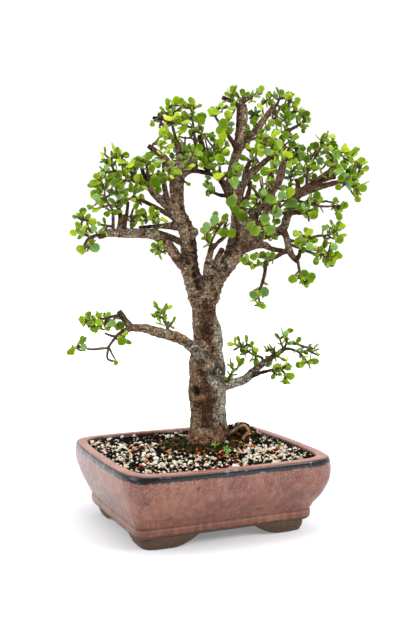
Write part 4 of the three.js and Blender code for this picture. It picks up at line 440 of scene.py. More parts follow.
# Scars, knots and hollows of the wood: kind, x, z, y, reach and height
MARKS = [
    ("pit", -14.8, 154, -17, 4.8, 4),
    ("pit", -13.4, 149.5, -18, 4.4, 3.6),
    ("ledge", -7, 144, -20, 4.2, 2.6),
    ("ledge", -12, 141, -18, 3.4, 1.6),
    ("bump", -15, 162, -17, 4, 1.8),
    ("bump", -19.5, 152, -11, 3.4, 1.6),
    ("crease", -0.5, 199, -20.5, 3.6, 3),
    ("crease", -1, 192, -21, 3.6, 3),
    ("crease", -6, 187.5, -21, 3.4, 2.6),
    ("crease", -13, 186, -18.5, 3, 2),
    ("crease", 7, 112, -22, 2.2, 1.6),
    ("crease", 9, 106, -22, 2.6, 2.4),
    ("crease", 10, 100, -22, 3, 2.6),
    ("pit", -17, 298, -10, 3.8, 1.6),
    ("pit", -15, 291, -11, 4.4, 2),
    ("pit", -13, 284, -12.5, 4.8, 2.2),
    ("pit", -11.5, 277, -14, 4.6, 2.2),
    ("crease", -9, 270, -16, 3.6, 1.8),
    ("bump", -18, 158, -13, 4, 1.4),
    ("eye", 15.6, 174.6, -20.5, 3.2, 1.5),
    ("ring", -28, 216.7, -32, 2.6, 1),
    ("bump", -43.6, 228, -36, 3.4, 1.6),
    ("bump", -70, 231.7, -44, 3.4, 1.6),
    ("bump", -34.6, 222, -32, 3, 1.3),
    ("bump", 0, 238, -14, 3, 0.8),
]


# Places and numbers

def seeded(seed):
    """Random numbers from 0 to 1, the same ones as the solids were made with."""
    state = seed
    while True:
        state = (state * 1664525 + 1013904223) % 4294967296
        yield state / 4294967296


def place(x, z, y):
    """From the tree's own axes to the frame."""
    right = x + TREE_RIGHT
    back = y + TREE_BACK
    return Vector((right * TURN_COS - back * TURN_SIN, right * TURN_SIN + back * TURN_COS, z)) + POT_CENTRE


def turned_back(x, y):
    """From the pot's axes to the tree's own, for numbers or arrays."""
    return x * TURN_COS + y * TURN_SIN - TREE_RIGHT, y * TURN_COS - x * TURN_SIN - TREE_BACK


def to_tree(p):
    """From the frame to the tree's own axes, as x and y."""
    q = p - POT_CENTRE
    return turned_back(q.x, q.y)


def seen(x, z, y):
    """The place at depth y that covers (x, z) of the tree's middle plane, from the front viewpoint."""
    scale = 1 - y / EYE.y
    return place(EYE.x + (x - EYE.x) * scale, EYE.z + (z - EYE.z) * scale, y)


def seen_at(p):
    """The point of the tree's middle plane that a place covers from the front viewpoint, as x and z."""
    x, y = to_tree(p)
    scale = 1 - y / EYE.y
    return EYE.x + (x - EYE.x) / scale, EYE.z + (p.z - EYE.z) / scale


def smoothstep(value, low, high):
    t = min(1, max(0, (value - low) / (high - low)))
    return t * t * (3 - 2 * t)


def as_array(points):
    return np.array([tuple(p) for p in points])


def round_angles(count):
    return [k * 2 * math.pi / count for k in range(count)]


def run_along(points):
    """How far along a line each of its points lies."""
    return np.concatenate([[0], np.cumsum([(b - a).length for a, b in zip(points, points[1:])])])


# Value noise, for relief made in the mesh itself

def hashed(ix, iy, iz, seed):
    """A number from 0 to 1 for each corner of a grid, mixed from its three places with large primes."""
    h = (ix * 374761393 + iy * 668265263 + iz * 2147483647 + seed * 974634777) & 0xFFFFFFFF
    h = ((h ^ (h >> 13)) * 1274126177) & 0xFFFFFFFF
    return ((h ^ (h >> 16)) & 0xFFFFFF) / float(0xFFFFFF)


def noise(points, size, seed):
    """Smooth noise from -1 to 1 at each point of an array, with features of the given size."""
    p = np.asarray(points, dtype=np.float64) / size
    base = np.floor(p).astype(np.int64)
    part = p - base
    part = part * part * (3 - 2 * part)
    total = np.zeros(len(p))
    for dx in (0, 1):
        for dy in (0, 1):
            for dz in (0, 1):
                corner = hashed(base[:, 0] + dx, base[:, 1] + dy, base[:, 2] + dz, seed)
                wx = part[:, 0] if dx else 1 - part[:, 0]
                wy = part[:, 1] if dy else 1 - part[:, 1]
                wz = part[:, 2] if dz else 1 - part[:, 2]
                total += corner * wx * wy * wz
    return total * 2 - 1


# Meshes

def add_attribute(mesh, name, values):
    mesh.attributes.new(name, "FLOAT", "POINT").data.foreach_set("value", values)


class Mesh:
    """Vertices and faces gathered from several parts, with one value a vertex for each attribute."""

    def __init__(self, *keys):
        self.vertices = []
        self.faces = []
        self.kinds = []
        self.attributes = {key: [] for key in keys}

    def add(self, vertices, faces, kind=0, **values):
        """Adds a part in the material of its kind, with a value for the part or one for each vertex."""
        start = len(self.vertices)
        self.vertices.extend(vertices)
        self.faces.extend([tuple(i + start for i in face) for face in faces])
        self.kinds.extend([kind] * len(faces))
        for key, held in self.attributes.items():
            value = values[key]
            held.extend(value if isinstance(value, list) else [value] * len(vertices))

    def build(self, name, materials, smooth=True):
        mesh = bpy.data.meshes.new(name)
        mesh.from_pydata([(v[0] * MM, v[1] * MM, v[2] * MM) for v in self.vertices], [], self.faces)
        for material in materials:
            mesh.materials.append(material)
        mesh.polygons.foreach_set("material_index", self.kinds)
        mesh.polygons.foreach_set("use_smooth", [smooth] * len(mesh.polygons))
        for key, values in self.attributes.items():
            add_attribute(mesh, key, values)
        mesh.validate()
        obj = bpy.data.objects.new(name, mesh)
        bpy.context.scene.collection.objects.link(obj)
        return obj


def finish_piece(obj, slot, *nodes):
    """Makes a piece ride on the root body in place of the nodes it stands for."""
    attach(obj, "root")
    if nodes:
        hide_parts(*nodes)


def modify(obj, name, kind, **settings):
    modifier = obj.modifiers.new(name, kind)
    for key, value in settings.items():
        setattr(modifier, key, value)


def apply_modifiers(obj):
    graph = bpy.context.evaluated_depsgraph_get()
    result = obj.evaluated_get(graph)
    mesh = bpy.data.meshes.new_from_object(result, preserve_all_data_layers=True, depsgraph=graph)
    obj.modifiers.clear()
    obj.data = mesh


def ring_faces(rings, sides):
    """Faces between rings of points that follow one another, with both ends closed."""
    faces = []
    for i in range(rings - 1):
        for k in range(sides):
            n = (k + 1) % sides
            faces.append((i * sides + k, i * sides + n, (i + 1) * sides + n, (i + 1) * sides + k))
    faces.append(tuple(reversed(range(sides))))
    faces.append(tuple((rings - 1) * sides + k for k in range(sides)))
    return faces


def turned_out(vertices, faces):
    """The same faces, turned so that the closed shell has a positive volume."""
    volume = 0
    middle = vertices[0]
    for face in faces:
        for a, b in zip(face[1:], face[2:]):
            volume += (vertices[face[0]] - middle).dot((vertices[a] - middle).cross(vertices[b] - middle))
    return faces if volume > 0 else [tuple(reversed(face)) for face in faces]


def smooth_path(points, values, step):
    """A curve through the points, in steps of about the given length, with the values carried along it."""
    path = []
    carried = []
    last = len(points) - 1
    for i in range(last):
        a = points[max(0, i - 1)]
        b = points[i]
        c = points[i + 1]
        d = points[min(last, i + 2)]
        pieces = max(1, round((c - b).length / step))
        for k in range(pieces):
            t = k / pieces
            path.append(0.5 * ((2 * b) + (c - a) * t + (2 * a - 5 * b + 4 * c - d) * t * t
                               + (3 * b - a - 3 * c + d) * t * t * t))
            carried.append(values[i] + (values[i + 1] - values[i]) * t)
    path.append(points[-1].copy())
    carried.append(values[-1])
    return path, carried


def tube(path, radii, sides):
    """Rings of points round a path, which turn with it as little as they can, and their faces."""
    vertices = []
    side = None
    for i, centre in enumerate(path):
        tangent = (path[min(len(path) - 1, i + 1)] - path[max(0, i - 1)]).normalized()
        if side is None:
            side = Vector((0, 0, 1)) if abs(tangent.z) < 0.9 else Vector((1, 0, 0))
        side = (side - tangent * side.dot(tangent)).normalized()
        other = tangent.cross(side)
        for angle in round_angles(sides):
            out = side * (radii[i] * math.cos(angle))
            vertices.append(centre + out + other * (radii[i] * math.sin(angle)))
    return vertices, ring_faces(len(path), sides)


# Node materials

def feed(tree, socket, value):
    """Links a socket to another one, or sets it to a value."""
    if isinstance(value, bpy.types.NodeSocket):
        tree.links.new(value, socket)
    else:
        socket.default_value = value


def node(tree, kind, inputs, **settings):
    made = tree.nodes.new("ShaderNode" + kind)
    for key, value in settings.items():
        setattr(made, key, value)
    for key, value in inputs.items():
        feed(tree, made.inputs[key], value)
    return made


def fit(tree, value, low, high, to_low=0.0, to_high=1.0):
    made = node(tree, "MapRange", {"Value": value, "From Min": low, "From Max": high,
                                   "To Min": to_low, "To Max": to_high})
    return made.outputs["Result"]


def srgb(*values):
    """A colour given as 0 to 255, as a linear colour for a socket."""
    linear = [(v / 255 / 12.92) if v / 255 <= 0.04045 else ((v / 255 + 0.055) / 1.055) ** 2.4 for v in values]
    return (*linear, 1)


class Paint:
    """A material whose colour is laid on in coats, by patterns in the object's own space, in millimetres."""

    def __init__(self, name, roughness, specular=0.5):
        self.material = bpy.data.materials.new(name)
        self.material.use_nodes = True
        self.tree = self.material.node_tree
        self.set("Roughness", roughness)
        self.set("Specular IOR Level", specular)

    def set(self, name, value):
        feed(self.tree, self.tree.nodes["Principled BSDF"].inputs[name], value)

    def attribute(self, name):
        return node(self.tree, "Attribute", {}, attribute_name=name).outputs["Fac"]

    def here(self, scale=(1, 1, 1)):
        """Where a point is; a small scale draws a pattern out along its axis."""
        source = node(self.tree, "TexCoord", {}).outputs["Object"]
        scale = tuple(s / MM for s in scale)
        return node(self.tree, "Mapping", {"Vector": source, "Scale": scale}).outputs["Vector"]

    def axes(self):
        return node(self.tree, "SeparateXYZ", {"Vector": self.here()}).outputs

    def noise(self, size, detail=3, rough=0.55, distort=0.0, scale=(1, 1, 1)):
        made = node(self.tree, "TexNoise", {"Vector": self.here(scale), "Scale": 1 / size, "Detail": detail,
                                            "Roughness": rough, "Distortion": distort})
        return made.outputs["Fac"]

    def cracks(self, size, scale):
        """How far a point is from the edges of cells of the given size."""
        made = node(self.tree, "TexVoronoi", {"Vector": self.here(scale), "Scale": 1 / size, "Randomness": 1},
                    feature="DISTANCE_TO_EDGE")
        return made.outputs["Distance"]

    def distance(self, a, b=(0, 0, 0)):
        return node(self.tree, "VectorMath", {0: a, 1: b}, operation="DISTANCE").outputs["Value"]

    def math(self, operation, a, b=0.0):
        return node(self.tree, "Math", {0: a, 1: b}, operation=operation).outputs[0]

    def fit(self, value, low, high, to_low=0.0, to_high=1.0):
        return fit(self.tree, value, low, high, to_low, to_high)

    def off_height(self, height):
        """How far a point is above or below a height."""
        return self.math("ABSOLUTE", self.math("SUBTRACT", self.axes()["Z"], height))

    def ragged(self, name, by, *pattern, **settings):
        """An attribute whose edges a noise makes uneven."""
        uneven = self.fit(self.noise(*pattern, **settings), 0.3, 0.7, -by, by)
        return self.math("ADD", self.attribute(name), uneven)

    def blend(self, share, under, over):
        under, over = (c if isinstance(c, bpy.types.NodeSocket) else srgb(*c) for c in (under, over))
        return node(self.tree, "Mix", {0: share, 6: under, 7: over}, data_type="RGBA").outputs[2]

    def coat(self, pattern, low, high, first, second, *layers):
        """The colour that a pattern gives, going from a first to a second colour, with layers over it.

        A layer is a share and its colour, or a pattern, where it begins and where it is full, its strength
        and its colour. A colour is three numbers from 0 to 255, or another coat.
        """
        colour = self.blend(self.fit(pattern, low, high), first, second)
        for share, *span, over in layers:
            if span:
                begins, full, strength = span
                share = self.fit(share, begins, full, 0, strength)
            colour = self.blend(share, colour, over)
        return colour

    def bump(self, height, distance, strength):
        made = node(self.tree, "Bump", {"Height": height, "Distance": distance * MM, "Strength": strength})
        self.set("Normal", made.outputs["Normal"])

    def coloured(self, colour):
        self.set("Base Color", colour)
        return self.material


# Dark spots in the glaze, as place and reach, and the height of the groove above the pot's band
GLAZE_SPOTS = [((-105.3, -115, 58.5), 4.8), ((-73, -101, 36), 4.4), ((-50, -120, 71), 4),
               ((-105.7, -101, 38), 3.6), ((29, -98, 35), 3.2), ((33, -98, 35.6), 3)]
SPOT_COLOUR = (58, 46, 50)
GROOVE_HEIGHT = 25
# How far below the groove lies the ridge that takes a painted highlight
RIDGE_HIGHLIGHT_BELOW_GROOVE = 2.6
HAZE_HEIGHTS = (46, 74)
DRIP_HEIGHTS = (54, 80)


def glaze_material():
    paint = Paint("glaze", 0.24, specular=0.4)
    fine = paint.noise(1.6, 3, 0.7)
    broad = paint.noise(34, 2, 0.5)
    streaks = paint.noise(5, 4, 0.6, scale=(1, 1, 0.16))
    blotches = paint.noise(14, 3, 0.6, 0.8, scale=(1, 1, 0.5))
    # Painted highlight: spots of pale blue glints for the dark lip
    painted_glints = paint.noise(7, 3, 0.6, scale=(0.5, 0.5, 1))
    runs = paint.noise(4.5, 3, 0.6, scale=(1, 1, 0.12))
    height = paint.axes()["Z"]
    haze = paint.math("MULTIPLY", paint.fit(height, *HAZE_HEIGHTS), paint.fit(fine, 0.47, 0.66, 0, 0.5))
    drips = paint.math("MULTIPLY", paint.fit(height, *DRIP_HEIGHTS), paint.fit(runs, 0.56, 0.68, 0, 0.7))
    uneven = paint.fit(fine, 0.3, 0.7, -1, 1)
    spots = []
    for middle, reach in GLAZE_SPOTS:
        far = paint.math("ADD", paint.distance(paint.here(), POT_CENTRE + Vector(middle)), uneven)
        spots.append((far, reach, 0.5 * reach, 0.75, SPOT_COLOUR))
    # The dark lip, with painted highlights of pale blue glints on it
    black = paint.coat(fine, 0.4, 0.6, (6, 5, 6), (26, 24, 26), (painted_glints, 0.6, 0.68, 0.7, (120, 130, 150)))
    rim = paint.coat(broad, 0.3, 0.7, (140, 78, 64), (168, 106, 88))
    bare_clay = paint.coat(fine, 0.35, 0.65, (60, 42, 32), (96, 72, 54))
    bare = paint.fit(paint.ragged("clay", 0.3, 6, 2), 0.45, 0.55)
    colour = paint.coat(
        broad, 0.35, 0.65, (104, 54, 38), (130, 78, 56),
        (streaks, 0.5, 0.72, 0.55, (158, 116, 94)),
        (streaks, 0.5, 0.3, 0.4, (88, 42, 30)),
        (blotches, 0.6, 0.7, 0.7, (104, 34, 28)),
        (fine, 0.55, 0.75, 0.4, (150, 112, 96)),
        (haze, (180, 148, 144)),
        (drips, (92, 28, 24)),
        *spots,
        # The groove painted darker, as pooled glaze and painted shade, and the ridge below it lighter, a
        # painted highlight
        (paint.off_height(GROOVE_HEIGHT), 1.5, 0.3, 0.5, (74, 36, 28)),
        (paint.off_height(GROOVE_HEIGHT - RIDGE_HIGHLIGHT_BELOW_GROOVE), 1.2, 0.2, 0.2, (190, 150, 130)),
        (paint.ragged("lip", 0.35, 9, 3, scale=(1, 1, 0.6)), 0.4, 0.66, 1, black),
        (paint.attribute("top"), rim),
        (paint.attribute("inside"), (64, 40, 36)),
        (bare, bare_clay))
    rough = paint.fit(paint.noise(7, 3), 0.3, 0.7, 0.2, 0.42)
    paint.set("Roughness", paint.math("MAXIMUM", rough, paint.math("MULTIPLY", bare, 0.8)))
    paint.set("Coat Weight", 0.12)
    paint.set("Coat Roughness", 0.12)
    paint.bump(paint.math("ADD", paint.math("MULTIPLY", fine, 0.5), streaks), 0.2, 0.5)
    return paint.coloured(colour)


def grit_material(name, dark, light, speck=None):
    paint = Paint(name, 0.95, specular=0.1)
    grain = paint.noise(0.7, 2, 0.7)
    paint.bump(grain, 0.3, 0.8)
    return paint.coloured(paint.coat(paint.attribute("tone"), 0, 1, dark, light,
                                     (grain, 0.4, 0.7, 0.35, speck or dark)))


def bark_material():
    paint = Paint("bark", 0.85, specular=0.05)
    patches = paint.noise(11, 4, 0.6)
    flecks = paint.noise(2.2, 3, 0.75)
    lumps = paint.noise(5.5, 2, 0.6, 0.4)
    rings = paint.noise(1.1, 2)
    wrinkles = paint.noise(2.1, 4, 0.65, 0.7, scale=(0.3, 0.3, 1))
    ridges = paint.noise(3.4, 4, 0.65, 0.5, scale=(0.4, 0.4, 1))
    scales = paint.cracks(3.4, scale=(1, 1, 0.6))
    relief = paint.attribute("relief")
    grey = paint.coat(flecks, 0.35, 0.65, (132, 128, 112), (196, 196, 180),
                      (ridges, 0.52, 0.64, 0.75, (224, 222, 206)))
    red = paint.coat(flecks, 0.45, 0.68, (58, 32, 23), (114, 78, 58))
    # The crust: its own reddish brown, with dark patches that are partly painted shade among its lumps
    crust = paint.coat(lumps, 0.42, 0.58, (50, 26, 17), (152, 100, 74),
                       (flecks, 0.54, 0.66, 0.6, (204, 160, 132)))
    twig = paint.coat(patches, 0.35, 0.65, (34, 19, 12), (84, 56, 36),
                      (flecks, 0.56, 0.7, 0.6, (140, 116, 84)))
    colour = paint.coat(
        patches, 0.36, 0.64, (112, 84, 64), (180, 152, 122),
        (ridges, 0.55, 0.66, 0.7, (184, 168, 138)),
        # Pale grey bark; on the limbs and the fork also painted light, paler on faces turned up
        (paint.ragged("pale", 0.5, 6, 3, scale=(1, 1, 0.5)), 0.3, 0.9, 1, grey),
        (flecks, 0.58, 0.7, 0.6, (182, 168, 134)),
        # Painted light: the raised parts of the mesh's relief lighter
        (relief, 0.25, 0.85, 0.5, (152, 138, 108)),
        # The red-brown band on the trunk's front, partly painted shade, and the painted shade on the limbs'
        # inner sides
        (paint.ragged("deep", 0.35, 4, 3), 0.1, 0.65, 0.92, red),
        # Painted shade: the hollows of the mesh's relief darker
        (relief, -0.05, -0.7, 0.85, (34, 22, 14)),
        # Dark cracks between the scales and dark wrinkles, where the bump sinks: the bark's own dark colour
        # and painted shade
        (scales, 0.12, 0, 0.65, (36, 24, 17)),
        (wrinkles, 0.52, 0.6, 0.75, (40, 27, 19)),
        (paint.attribute("warm"), crust),
        (paint.attribute("young"), twig),
        (paint.attribute("cut"), paint.coat(rings, 0.4, 0.6, (196, 120, 66), (226, 190, 140))),
        # Painted shade in the scars' pits, creases and hollows
        (paint.attribute("dark"), (34, 24, 12)))
    paint.bump(paint.math("SUBTRACT", paint.fit(scales, 0, 0.15), wrinkles), 1.2, 1)
    return paint.coloured(colour)


def leaf_material(name, dark, middle, pale):
    paint = Paint(name, 0.34, specular=0.14)
    tone = paint.attribute("tone")
    paint.set("Subsurface Weight", 0.35)
    paint.set("Subsurface Radius", (0.5, 1.0, 0.2))
    paint.set("Subsurface Scale", 2.5 * MM)
    paint.bump(paint.noise(0.9, 2), 0.08, 0.5)
    return paint.coloured(paint.coat(
        tone, 0, 0.5, dark, middle,
        (tone, 0.5, 1, 1, pale),
        # Painted sheen: a bluish reflection laid on some leaves
        (paint.attribute("cool"), 0, 1, 0.7, (122, 164, 104)),
        (paint.attribute("along"), 0.35, 0, 0.5, pale),
        # Painted light: leaves lighter towards their rims than along the midline
        (paint.attribute("edge"), 0.45, 1, 0.14, pale),
        (paint.noise(2.6, 2), 0.5, 0.75, 0.25, dark)))


def stem_material():
    paint = Paint("young_stem", 0.6)
    paint.bump(paint.noise(0.8, 3), 0.15, 0.6)
    return paint.coloured(paint.coat(paint.noise(3, 3), 0.35, 0.65, (34, 19, 12), (84, 52, 34),
                                     (paint.attribute("tone"), 0.5, 1, 0.8, (104, 58, 36))))


def screen_material():
    paint = Paint("screen_mesh", 0.6)
    dark = (38, 44, 40)
    return paint.coloured(paint.coat(paint.noise(3, 3), 0.35, 0.65, dark, [1.18 * c for c in dark]))


# The pot

# The wall outside, from the foot of the bowl to the lip, and inside, from the rim down, as height and inset
OUTER_WALL = [(12, 25), (12.6, 23.4), (15, 21), (18, 20), (23.6, 19.6), (25, 20.6), (26.4, 19.3), (32, 16.6),
              (40, 12.4), (49, 8.3), (62.6, 3), (73, 0.7), (80, 0), (84.5, 0.1), (86.9, 0.9), (87.8, 2.2),
              (88, 3.4)]
INNER_WALL = [(88, 10.6), (87.7, 11.6), (86.5, 12.5), (80, 13.2), (68, 14.6), (42, 22), (27, 32), (25, 36)]
DRILL_PAST = 6
# Insets of the rings that close the bowl below and inside
UNDER_INSETS = (100, 60, 34)
FLOOR_INSETS = (60, 100)
POT_SIDES = 200
OUTER_STEP = 1.6
INNER_STEP = 3
WALL_WOBBLE = 0.5
WOBBLE_SIZE = 60
# Heights over which the dark lip begins and ends outside, the rim's flat top begins and the bare clay ends,
# and over which the lip and the glaze of the rim run out on the inner wall
LIP_BEGINS = (78.5, 82.5)
LIP_ENDS = (86.8, 87.8)
TOP_BEGINS = (87, 87.9)
CLAY_ENDS = (15.5, 17.5)
INNER_LIP = (84, 87)
INNER_ENDS = (84, 87.5)


def front_inset(inset, z):
    """The inset on the long sides, which lean in further than the short ones from the rim to the base."""
    return inset + FRONT_LEAN * min(1, inset / FULL_LEAN_INSET) * (1 - smoothstep(z, FOOT_HEIGHT, POT_HEIGHT))


def outline_point(angle, inset, z):
    """A point of the bowl's outline, a rounded rectangle that is bowed at the rim and square at the base."""
    low = min(1, (POT_HEIGHT - z) / (POT_HEIGHT - FOOT_HEIGHT))
    power = 2 / (RIM_SQUARENESS + (BASE_SQUARENESS - RIM_SQUARENESS) * low)
    bow = RIM_BOW * (1 - low)
    u = math.copysign(abs(math.cos(angle)) ** power, math.cos(angle))
    v = math.copysign(abs(math.sin(angle)) ** power, math.sin(angle))
    x = (POT_LENGTH / 2 - inset) * u * (1 - bow * v * v)
    y = (POT_WIDTH / 2 - front_inset(inset, z)) * v * (1 - bow * u * u)
    return Vector((x, y, z)) + POT_CENTRE


def even_angles(count, inset):
    """Angles whose outline points are evenly spaced."""
    fine = 4000
    run = run_along([outline_point(k * 2 * math.pi / fine, inset, POT_HEIGHT) for k in range(fine + 1)])
    wanted = np.arange(count) * run[-1] / count
    return np.interp(wanted, run, np.arange(fine + 1)) * 2 * math.pi / fine


def fine_profile(points, step):
    """A wall's profile as a curve, as height and inset."""
    path = [Vector((inset, 0, z)) for z, inset in points]
    curve, _ = smooth_path(path, [0] * len(path), step)
    return [(p.z, p.x) for p in curve]


def inner_inset(z):
    heights, insets = zip(*reversed(INNER_WALL))
    return float(np.interp(z, heights, insets))


def corner_path(to_x, to_y, distances):
    """Places along a quarter of the feet's outer line, at distances from its corner, and the ways out."""
    fine = 960
    corner = 0.5 ** (1 / FOOT_SQUARENESS)
    points = []
    for k in range(fine + 1):
        turn = to_x * to_y * (2 * k / fine - 1)
        v = (1 - abs(turn)) * corner
        u = (1 - v ** FOOT_SQUARENESS) ** (1 / FOOT_SQUARENESS)
        x, y = (u, v) if turn < 0 else (v, u)
        x *= to_x
        y *= to_y
        points.append(Vector((x * (POT_LENGTH / 2 - FOOT_INSET), y * (POT_WIDTH / 2 - FOOT_FRONT_INSET), 0))
                      + POT_CENTRE)
    run = run_along(points)
    places = []
    for distance in distances:
        k = int(np.clip(np.searchsorted(run, run[fine // 2] + distance), 1, fine - 1))
        along = (points[k + 1] - points[k - 1]).normalized()
        places.append((points[k], Vector((along.y, -along.x, 0))))
    return places


def foot_mesh(to_x, to_y):
    """One bracket foot, bent round a corner, with a curved rise at both ends."""
    stations = 61
    steps = 6
    top = FOOT_HEIGHT + FOOT_SUNK
    distances = [(2 * i / (stations - 1) - 1) * FOOT_REACH for i in range(stations)]
    rings = []
    for (edge, outward), distance in zip(corner_path(to_x, to_y, distances), distances):
        rise = max(0, (abs(distance) - FOOT_FLAT) / (FOOT_REACH - FOOT_FLAT))
        bottom = min(FOOT_HEIGHT * rise ** FOOT_RISE_CURVE, FOOT_HEIGHT + 0.3)
        bulge = FOOT_BULGE * (1 - rise)
        section = []
        for k in range(steps + 1):
            t = k / steps
            section.append((FOOT_TAPER * t - bulge * math.sin(math.pi * t), top + (bottom + 1.2 - top) * t))
        section += [(FOOT_TAPER + 0.5, bottom + 0.3), (FOOT_TAPER + 1.4, bottom), (FOOT_BAND - 1, bottom),
                    (FOOT_BAND, bottom + 1), (FOOT_BAND, top)]
        rings.append([edge - outward * inward + Vector((0, 0, z)) for inward, z in section])
    vertices = [v for ring in rings for v in ring]
    return vertices, turned_out(vertices, ring_faces(len(rings), len(rings[0])))


def wall_values(z, outside):
    """What the glaze needs at a height of the wall: dark lip, top of the rim, bare clay and inner wall."""
    top = smoothstep(z, *TOP_BEGINS)
    if outside:
        lip = smoothstep(z, *LIP_BEGINS) * (1 - smoothstep(z, *LIP_ENDS))
        return {"lip": lip, "top": top, "clay": 1 - smoothstep(z, *CLAY_ENDS), "inside": 0}
    lip = 0.5 * smoothstep(z, *INNER_LIP)
    return {"lip": lip, "top": top, "clay": 0, "inside": 1 - smoothstep(z, *INNER_ENDS)}


def build_pot(material):
    angles = even_angles(POT_SIDES, 0)
    inner_angles = even_angles(POT_SIDES, RIM_WIDTH)
    outer = [(FOOT_HEIGHT, inset) for inset in UNDER_INSETS] + fine_profile(OUTER_WALL, OUTER_STEP)
    inner = fine_profile(INNER_WALL, INNER_STEP) + [(FLOOR_TOP, inset) for inset in FLOOR_INSETS]
    vertices = []
    values = {"lip": [], "top": [], "clay": [], "inside": []}
    for wall, outside in ((outer, True), (inner, False)):
        for z, inset in wall:
            vertices += [outline_point(a, inset, z) for a in (angles if outside else inner_angles)]
            for key, value in wall_values(z, outside).items():
                values[key] += [value] * POT_SIDES
    points = as_array(vertices)
    outwards = points - np.array(tuple(POT_CENTRE))
    outwards[:, 2] = 0
    outwards /= np.maximum(1e-6, np.linalg.norm(outwards, axis=1))[:, None]
    points += outwards * (WALL_WOBBLE * noise(points, WOBBLE_SIZE, 3))[:, None]
    bowl = Mesh(*values)
    bowl.add([tuple(p) for p in points], ring_faces(len(outer) + len(inner), POT_SIDES), **values)
    pot = bowl.build("pot_fired", [material])
    drill_drains(pot)
    feet = Mesh(*values)
    for to_x, to_y in ((1, 1), (-1, 1), (-1, -1), (1, -1)):
        feet.add(*foot_mesh(to_x, to_y), lip=0, top=0, clay=1, inside=0)
    merge(pot, feet.build("feet", [material]))
    finish_piece(pot, "pot_glaze", "pot")


def merge(obj, extra):
    """Adds the mesh of a second object to the first."""
    both = bmesh.new()
    both.from_mesh(obj.data)
    both.from_mesh(extra.data)
    both.to_mesh(obj.data)
    both.free()
    bpy.data.objects.remove(extra)


def drill_drains(pot):
    sides = 40
    radius = DRAIN_DIAMETER / 2
    ends = (FOOT_HEIGHT - DRILL_PAST, FLOOR_TOP + DRILL_PAST)
    for side in (-1, 1):
        centre = POT_CENTRE + Vector((side * DRAIN_APART / 2, 0, 0))
        corners = [centre + Vector((radius * math.cos(a), radius * math.sin(a), z))
                   for z in ends for a in round_angles(sides)]
        mesh = Mesh()
        mesh.add(corners, ring_faces(2, sides))
        drill = mesh.build("drill", [])
        modify(pot, "drain", "BOOLEAN", operation="DIFFERENCE", object=drill, solver="EXACT")
        apply_modifiers(pot)
        bpy.data.objects.remove(drill)


# The ground

BED_SIDES = 180
BED_RINGS = 58
BED_WALL_HEIGHTS = (40, 60, 76)
BED_GAP = 0.6
BED_BELOW = 1.6
SLOPE = (-90, 60)
RIM_GAP = 2
SOIL_BELOW_RIM = 2.2
MOUND_FREE = 60


def ground_height(x, y):
    height = SOIL_FRONT + (SOIL_BACK - SOIL_FRONT) * smoothstep(y, *SLOPE)
    for mound_x, mound_y, rise, spread in MOUNDS:
        height += rise * math.exp(-((x - mound_x) ** 2 + (y - mound_y) ** 2) / spread ** 2)
    return height


def surface_at(p):
    """Height of the ground at a place in the pot, kept under the rim beside the wall."""
    q = p - POT_CENTRE
    edge = RIM_WIDTH + RIM_GAP
    reach = max(abs(q.x) / (POT_LENGTH / 2 - edge), abs(q.y) / (POT_WIDTH / 2 - edge))
    limit = POT_HEIGHT - SOIL_BELOW_RIM + MOUND_FREE * (1 - smoothstep(reach, 0.8, 1))
    return min(ground_height(*to_tree(p)), limit)


def inside_pot(p, margin):
    q = p - POT_CENTRE
    inset = inner_inset(SOIL_EDGE) + margin
    u = abs(q.x) / (POT_LENGTH / 2 - inset)
    v = abs(q.y) / (POT_WIDTH / 2 - front_inset(inset, SOIL_EDGE))
    return (u * (1 + RIM_BOW * v * v)) ** RIM_SQUARENESS + (v * (1 + RIM_BOW * u * u)) ** RIM_SQUARENESS < 1


def build_ground(material):
    """The dark bed under the loose grains, closed below; its near black is dark soil and painted shade
    between the grains.
    """
    angles = even_angles(BED_SIDES, RIM_WIDTH)
    vertices = []
    for z in BED_WALL_HEIGHTS:
        vertices += [outline_point(a, inner_inset(z) + BED_GAP, z) for a in angles]
    edge = [outline_point(a, inner_inset(SOIL_EDGE) + BED_GAP, SOIL_EDGE) for a in angles]
    centre = place(0, 0, SOIL_EDGE)
    for k in range(BED_RINGS):
        for point in edge:
            p = centre.lerp(point, 1 - k / 60)
            p.z = surface_at(p) - BED_BELOW
            vertices.append(p)
    points = as_array(vertices)
    walls = len(BED_WALL_HEIGHTS)
    top = np.repeat([0.0] * walls + [1.0] * BED_RINGS, BED_SIDES)
    points[:, 2] += top * (0.9 * noise(points, 5, 5) + 0.6 * noise(points, 2.2, 6))
    bed = Mesh("tone")
    tone = list(np.clip(0.5 + 0.5 * noise(points, 3, 8), 0, 1))
    bed.add([tuple(p) for p in points], ring_faces(walls + BED_RINGS, BED_SIDES), tone=tone)
    finish_piece(bed.build("soil_bed", [material]), "soil_grit", "soil")


# The wood

# The size of the skin's cells, and the share of its faces that is kept
WOOD_VOXEL = 1.0
WOOD_KEPT = 0.58
TRUNK_SIDES = 48
TRUNK_STEP = 2.5
TRUNK_LINE_STEP = 2
TRUNK_DEPTH = 0.93
FLARE_TOP = 118
FLARE_HEIGHT = 40
BRANCH_SIDES = 16
BRANCH_STEP = 1.2
# The swollen rings of old leaf joints: least gap and how much more, how far they stand out, and their width
JOINT_GAP = (6.5, 5)
JOINT_SWELL = 0.13
JOINT_WIDTH = 1.3
# The knot on the trunk, as x, z and y, and the ring round it
KNOT = (15.6, 174.6, -19.5)
KNOT_RADIUS = 4.8
KNOT_ROLL = 1.7
# How the bark's relief stands out on the trunk, and how far apart its wrinkles are
WRINKLE_HEIGHT = 0.75
KNOB_HEIGHT = 1.2
GRAIN_HEIGHT = 0.25
WRINKLE_PITCH = 1.9
